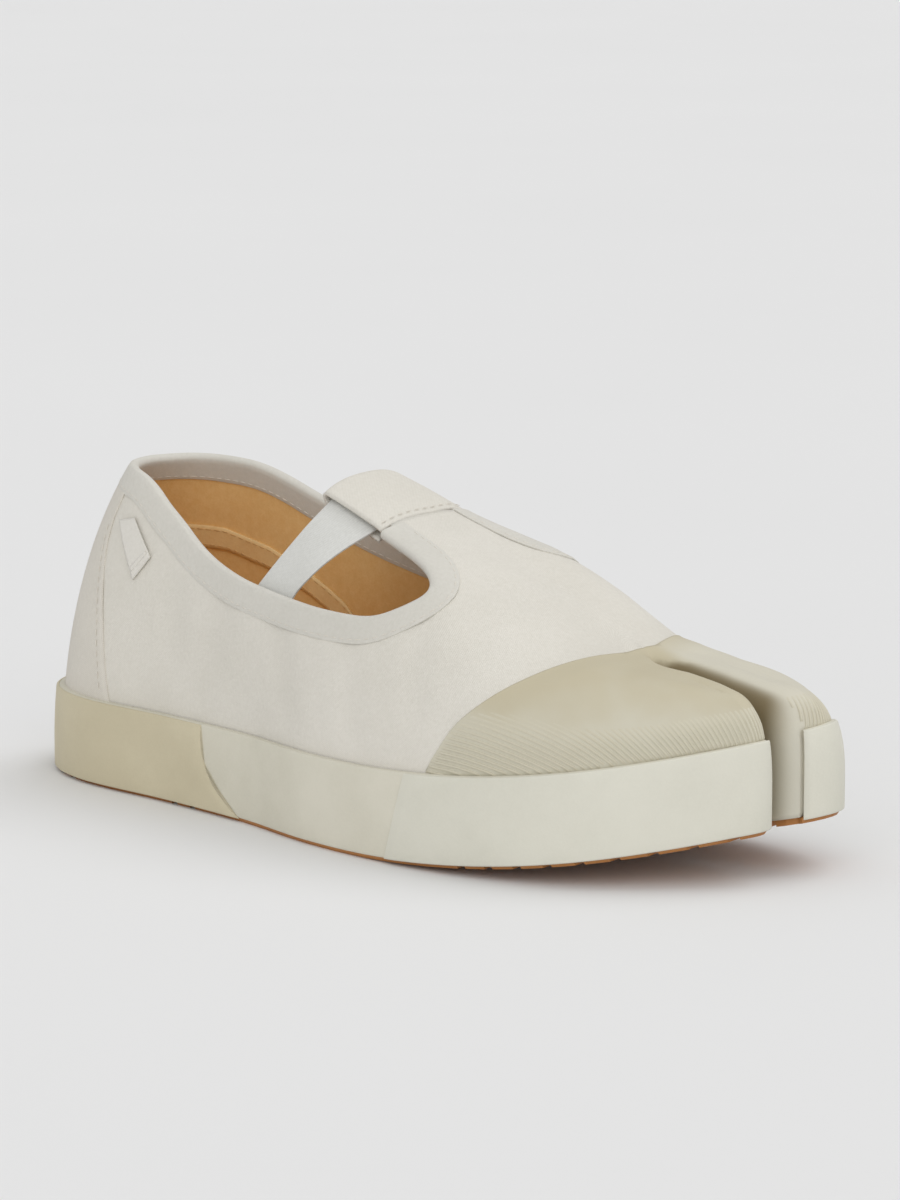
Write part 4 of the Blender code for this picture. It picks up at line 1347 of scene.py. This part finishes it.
sock = bent_grid([sock_column(k / 8) for k in range(SPANS * 8)], ring=True)
sock_piece = piece(faced(sock, UP), "sock_sheet", sock_finish, "insole", 60.0)
wall(sock_piece, 3.0)
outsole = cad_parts["outsole"]
outsole.data.materials.clear()
outsole.data.materials.append(gum_finish)
print("outsole keeps its CAD mesh")

# %% [markdown]
# ## Strap loop and elastic
# The end of the T bar is folded back round a flat elastic and sewn down. The fold is a sheet that runs back
# over the elastic, turns round its back edge and comes forward again underneath. The elastic is one flat
# band: it passes through the fold and dives inside both quarters, where it is sewn to the lining.

# %% Fold the loop
LOOP_THICK = 1.3
LOOP_TUNNEL = 2.6
LOOP_DEEP = LOOP_TUNNEL + 2.0 * LOOP_THICK
LOOP_LATERAL = -16.2
LOOP_MEDIAL = 17.7


def lay(x, y):
    """Point of the last under a place, the way up from it and the way back along it."""
    p = drop_on(x, y)
    slope_x = (drop_on(x + 1.5, y).z - drop_on(x - 1.5, y).z) / 3.0
    slope_y = (drop_on(x, y + 1.5).z - drop_on(x, y - 1.5).z) / 3.0
    rise = Vector((-slope_x, -slope_y, 1.0)).normalized()
    return p, rise, Vector((-1.0, 0.0, -slope_x)).normalized()


def loop_column(y, front):
    """Path of the fold at one place across the bar."""
    turn_x = BAR_BACK + LOOP_DEEP / 2
    points = []
    for k in range(25):
        x = front + (turn_x - front) * k / 24
        p, rise, backward = lay(x, y)
        edge = min(1.0, (front - x) / 3.0)
        points.append(p + rise * (0.05 + 0.3 * edge + 0.3 * math.sin(math.pi * k / 24)))
    p, rise, backward = lay(turn_x, y)
    middle = p - rise * (LOOP_DEEP / 2 - 0.175)
    for k in range(1, 14):
        a = math.pi * k / 14
        points.append(middle + (rise * math.cos(a) + backward * math.sin(a)) * (LOOP_DEEP / 2 + 0.175))
    for k in range(13):
        x = turn_x + (front - 1.5 - turn_x) * k / 12
        p, rise, backward = lay(x, y)
        points.append(p - rise * LOOP_DEEP)
    return points


loop_rows = []
for k in range(29):
    share = k / 28
    y = LOOP_LATERAL + (LOOP_MEDIAL - LOOP_LATERAL) * share
    loop_rows.append(loop_column(y, BAR_SEAM + 1.0))
loop = bent_grid(loop_rows)
loop_piece = piece(faced(loop, UP), "bar_fold", canvas_finish, "strap_loop", 60.0)
wall(loop_piece, 1.0)

# %% Stretch the elastic
ELASTIC_WIDE = 17.8
ELASTIC_THICK = 1.2


def elastic_section(k, turns):
    """Closed section of the band, found by looking out from a line inside the shoe."""
    a = math.radians(-66.0 + 110.0 * k / turns)
    share = min(1.0, max(0.0, abs(a) - math.radians(22.0)) / math.radians(36.0))
    middle = (BAR_BACK + BAR_SEAM) / 2 - 19.0 * share ** 1.3
    deep = 2.1 + 1.4 * smooth_step(math.radians(20.0), math.radians(38.0), abs(a))
    upper_side, under_side = [], []
    for j in range(9):
        w = -0.5 + j / 8
        start = to_frame(Vector((middle + w * ELASTIC_WIDE, 0.0, 45.0)))
        hit, normal, index, far = TREE.ray_cast(start, Vector((0.0, math.sin(a), math.cos(a))))
        p = on_last(hit)
        edge = 0.35 if j in (0, 8) else 0.0
        upper_side.append(p - normal * (deep + edge))
        under_side.append(p - normal * (deep + ELASTIC_THICK - edge))
    return upper_side + list(reversed(under_side))


def settle(rows, rounds):
    """Evens out a band along its length so that it hangs in one smooth bow."""
    for _ in range(rounds):
        rows = [rows[0]] + [[(a + b * 2.0 + c) / 4.0 for a, b, c in zip(rows[i - 1], rows[i], rows[i + 1])]
                            for i in range(1, len(rows) - 1)] + [rows[-1]]
    return rows


elastic_rows = settle([elastic_section(k, 90) for k in range(91)], 12)
elastic = closed(bent_grid(elastic_rows, tube=True))
piece(elastic, "elastic_band", elastic_finish, "elastic_strap", 50.0)

# %% [markdown]
# ## Heel panel and label
# A second piece of canvas covers the back of the heel; its front edge is turned under and shows as a raised
# line that leans forward as it drops. A small woven label, left bare, is caught under the binding on the
# lateral side.

# %% Cover the heel
PANEL_TUCK = 2.0
PANEL_TOP_PLACE = 1.75
BINDING_LAP = 3.0
SEAM = ((22.0, 2.33), (36.0, 2.21), (48.0, 2.1), (61.0, 1.93), (71.0, 1.78), (77.0, 1.72))


def panel_point(z, share):
    """Point of the panel at a height; share is -1 at its medial edge and 1 at its lateral one."""
    s = read_off(SEAM, z) * share % SPANS
    return profile(s, level(s, z))


def panel_column(share):
    """Column of the panel from behind the foxing to under the binding."""
    low = FOXING_TOP - PANEL_TUCK
    high = collar_point(share * PANEL_TOP_PLACE % SPANS, BINDING_LAP).z
    return [panel_point(low + (high - low) * k / 30, share) for k in range(31)]


panel = bent_grid([panel_column(-1.0 + k / 40) for k in range(81)])
shift(panel, 0.5)
panel_piece = piece(panel, "heel_cover", panel_finish, "heel_panel", 60.0)
wall(panel_piece, 0.6)

# %% Sew on the label
LABEL = ((40.3, 77.6), (47.4, 79.0), (57.2, 69.0), (51.0, 61.8))
LABEL_LIFT = 1.0


def label_point(u, v, lift):
    """Place on the label: u across it, v down from the binding."""
    a, b, c, d = [Vector((x, 0.0, z)) for x, z in LABEL]
    q = a.lerp(b, u).lerp(d.lerp(c, u), v)
    hit, normal, index, far = TREE.ray_cast(to_frame(Vector((q.x, -70.0, q.z))), Vector((0.0, 1.0, 0.0)))
    return on_last(hit) + normal * lift


label = bent_grid([[label_point(i / 16, j / 20, LABEL_LIFT) for j in range(21)] for i in range(17)])
label_piece = piece(faced(label, LATERAL_WAY), "side_label", label_finish, "heel_label", 60.0)
wall(label_piece, 0.5)
fold_rows = [(0.8 + 0.09 * j / 6, LABEL_LIFT + 0.35 * math.sin(math.pi * j / 6)) for j in range(7)]
fold = bent_grid([[label_point(i / 16, down, lift) for down, lift in fold_rows] for i in range(1, 16)])
fold_piece = piece(faced(fold, LATERAL_WAY), "label_fold", label_finish, None, 60.0)
wall(fold_piece, 0.2)

# %% [markdown]
# ## Stitches
# Each stitch is a short plump stick of thread lying on the cloth. One line of points and the way out from
# the cloth are enough to lay a whole row; all stitches of one thread are joined into one mesh.

# %% Lay the stitches
STITCH_LONG = 2.1
STITCH_GAP = 0.9
STITCH_THICK = 0.17


def stitch_row(target, points, lift):
    """Row of stitches along points on the last, lifted off it by a distance."""
    count = max(1, int(length_of(points) / (STITCH_LONG + STITCH_GAP)))
    fine = evenly(points, count * 2)
    for i in range(count):
        a, m, b = fine[2 * i], fine[2 * i + 1], fine[min(2 * i + 2, len(fine) - 1)]
        run = (b - a).normalized()
        out = nearest(m)[1]
        side = run.cross(out).normalized()
        out = side.cross(run)
        place = Matrix.Translation(to_frame(m + out * lift))
        turn = Matrix((out, side, run)).transposed().to_4x4()
        size = Matrix.Diagonal((STITCH_THICK * 0.8 * MM, STITCH_THICK * MM, STITCH_LONG / 2 * MM, 1.0))
        bmesh.ops.create_uvsphere(target, u_segments=6, v_segments=5, radius=1.0, matrix=place @ turn @ size)


def below_edge(deep):
    """Line at a distance under the edge of the opening."""
    return [nearest(centre + down * deep)[0] for centre, out, down in edge_path[4:-4]]


pale = bmesh.new()
stitch_row(pale, below_edge(6.3), 0.62)
stitch_row(pale, below_edge(6.3), -2.62)
bar_wide = LOOP_MEDIAL - LOOP_LATERAL - 2.0
bar_front = [drop_on(BAR_SEAM - 0.6, LOOP_LATERAL + 1.0 + bar_wide * k / 30) for k in range(31)]
stitch_row(pale, bar_front, 0.7)
for side in (1.0, -1.0):
    stitch_row(pale, [panel_point(z, 0.955 * side) for z in range(28, 78, 2)], 0.7)
piece(pale, "pale_stitches", thread_finish, None, 80.0)

# %% [markdown]
# ## Counter band
# Inside the quarters a leather band covers the edge of the heel stiffener. It is a strip of the lining's
# own leather with a row of stitches along both edges.

# %% Line the counter
BAND_TOP = ((0.0, 70.5), (20.5, 71.3), (34.4, 70.3), (42.6, 68.1), (53.2, 66.0), (69.0, 60.5), (76.6, 56.6),
            (83.1, 52.7), (88.0, 47.8), (94.0, 40.0))
BAND_WIDE = 7.2
BAND_END = 3.45


def band_point(s, drop):
    """Point of the wall on the band, a distance under its upper edge."""
    def under(t):
        p = profile(s % SPANS, t)
        return p.z < read_off(BAND_TOP, p.x) - drop
    return profile(s % SPANS, last_true(under, 0.0, 1.0))


drops = [BAND_WIDE * (1.0 - j / 6) for j in range(7)]
band = bent_grid([[band_point(BAND_END * (i / 60 - 1.0), drop) for drop in drops] for i in range(121)])
shift(band, -2.0)
band_piece = piece(band, "counter_band", band_finish, None, 60.0)
wall(band_piece, 0.6)
tan = bmesh.new()
for drop in (1.1, BAND_WIDE - 1.1):
    stitch_row(tan, [band_point((BAND_END - 0.05) * (i / 60 - 1.0), drop) for i in range(121)], -2.68)
piece(tan, "tan_stitches", tan_thread_finish, None, 80.0)
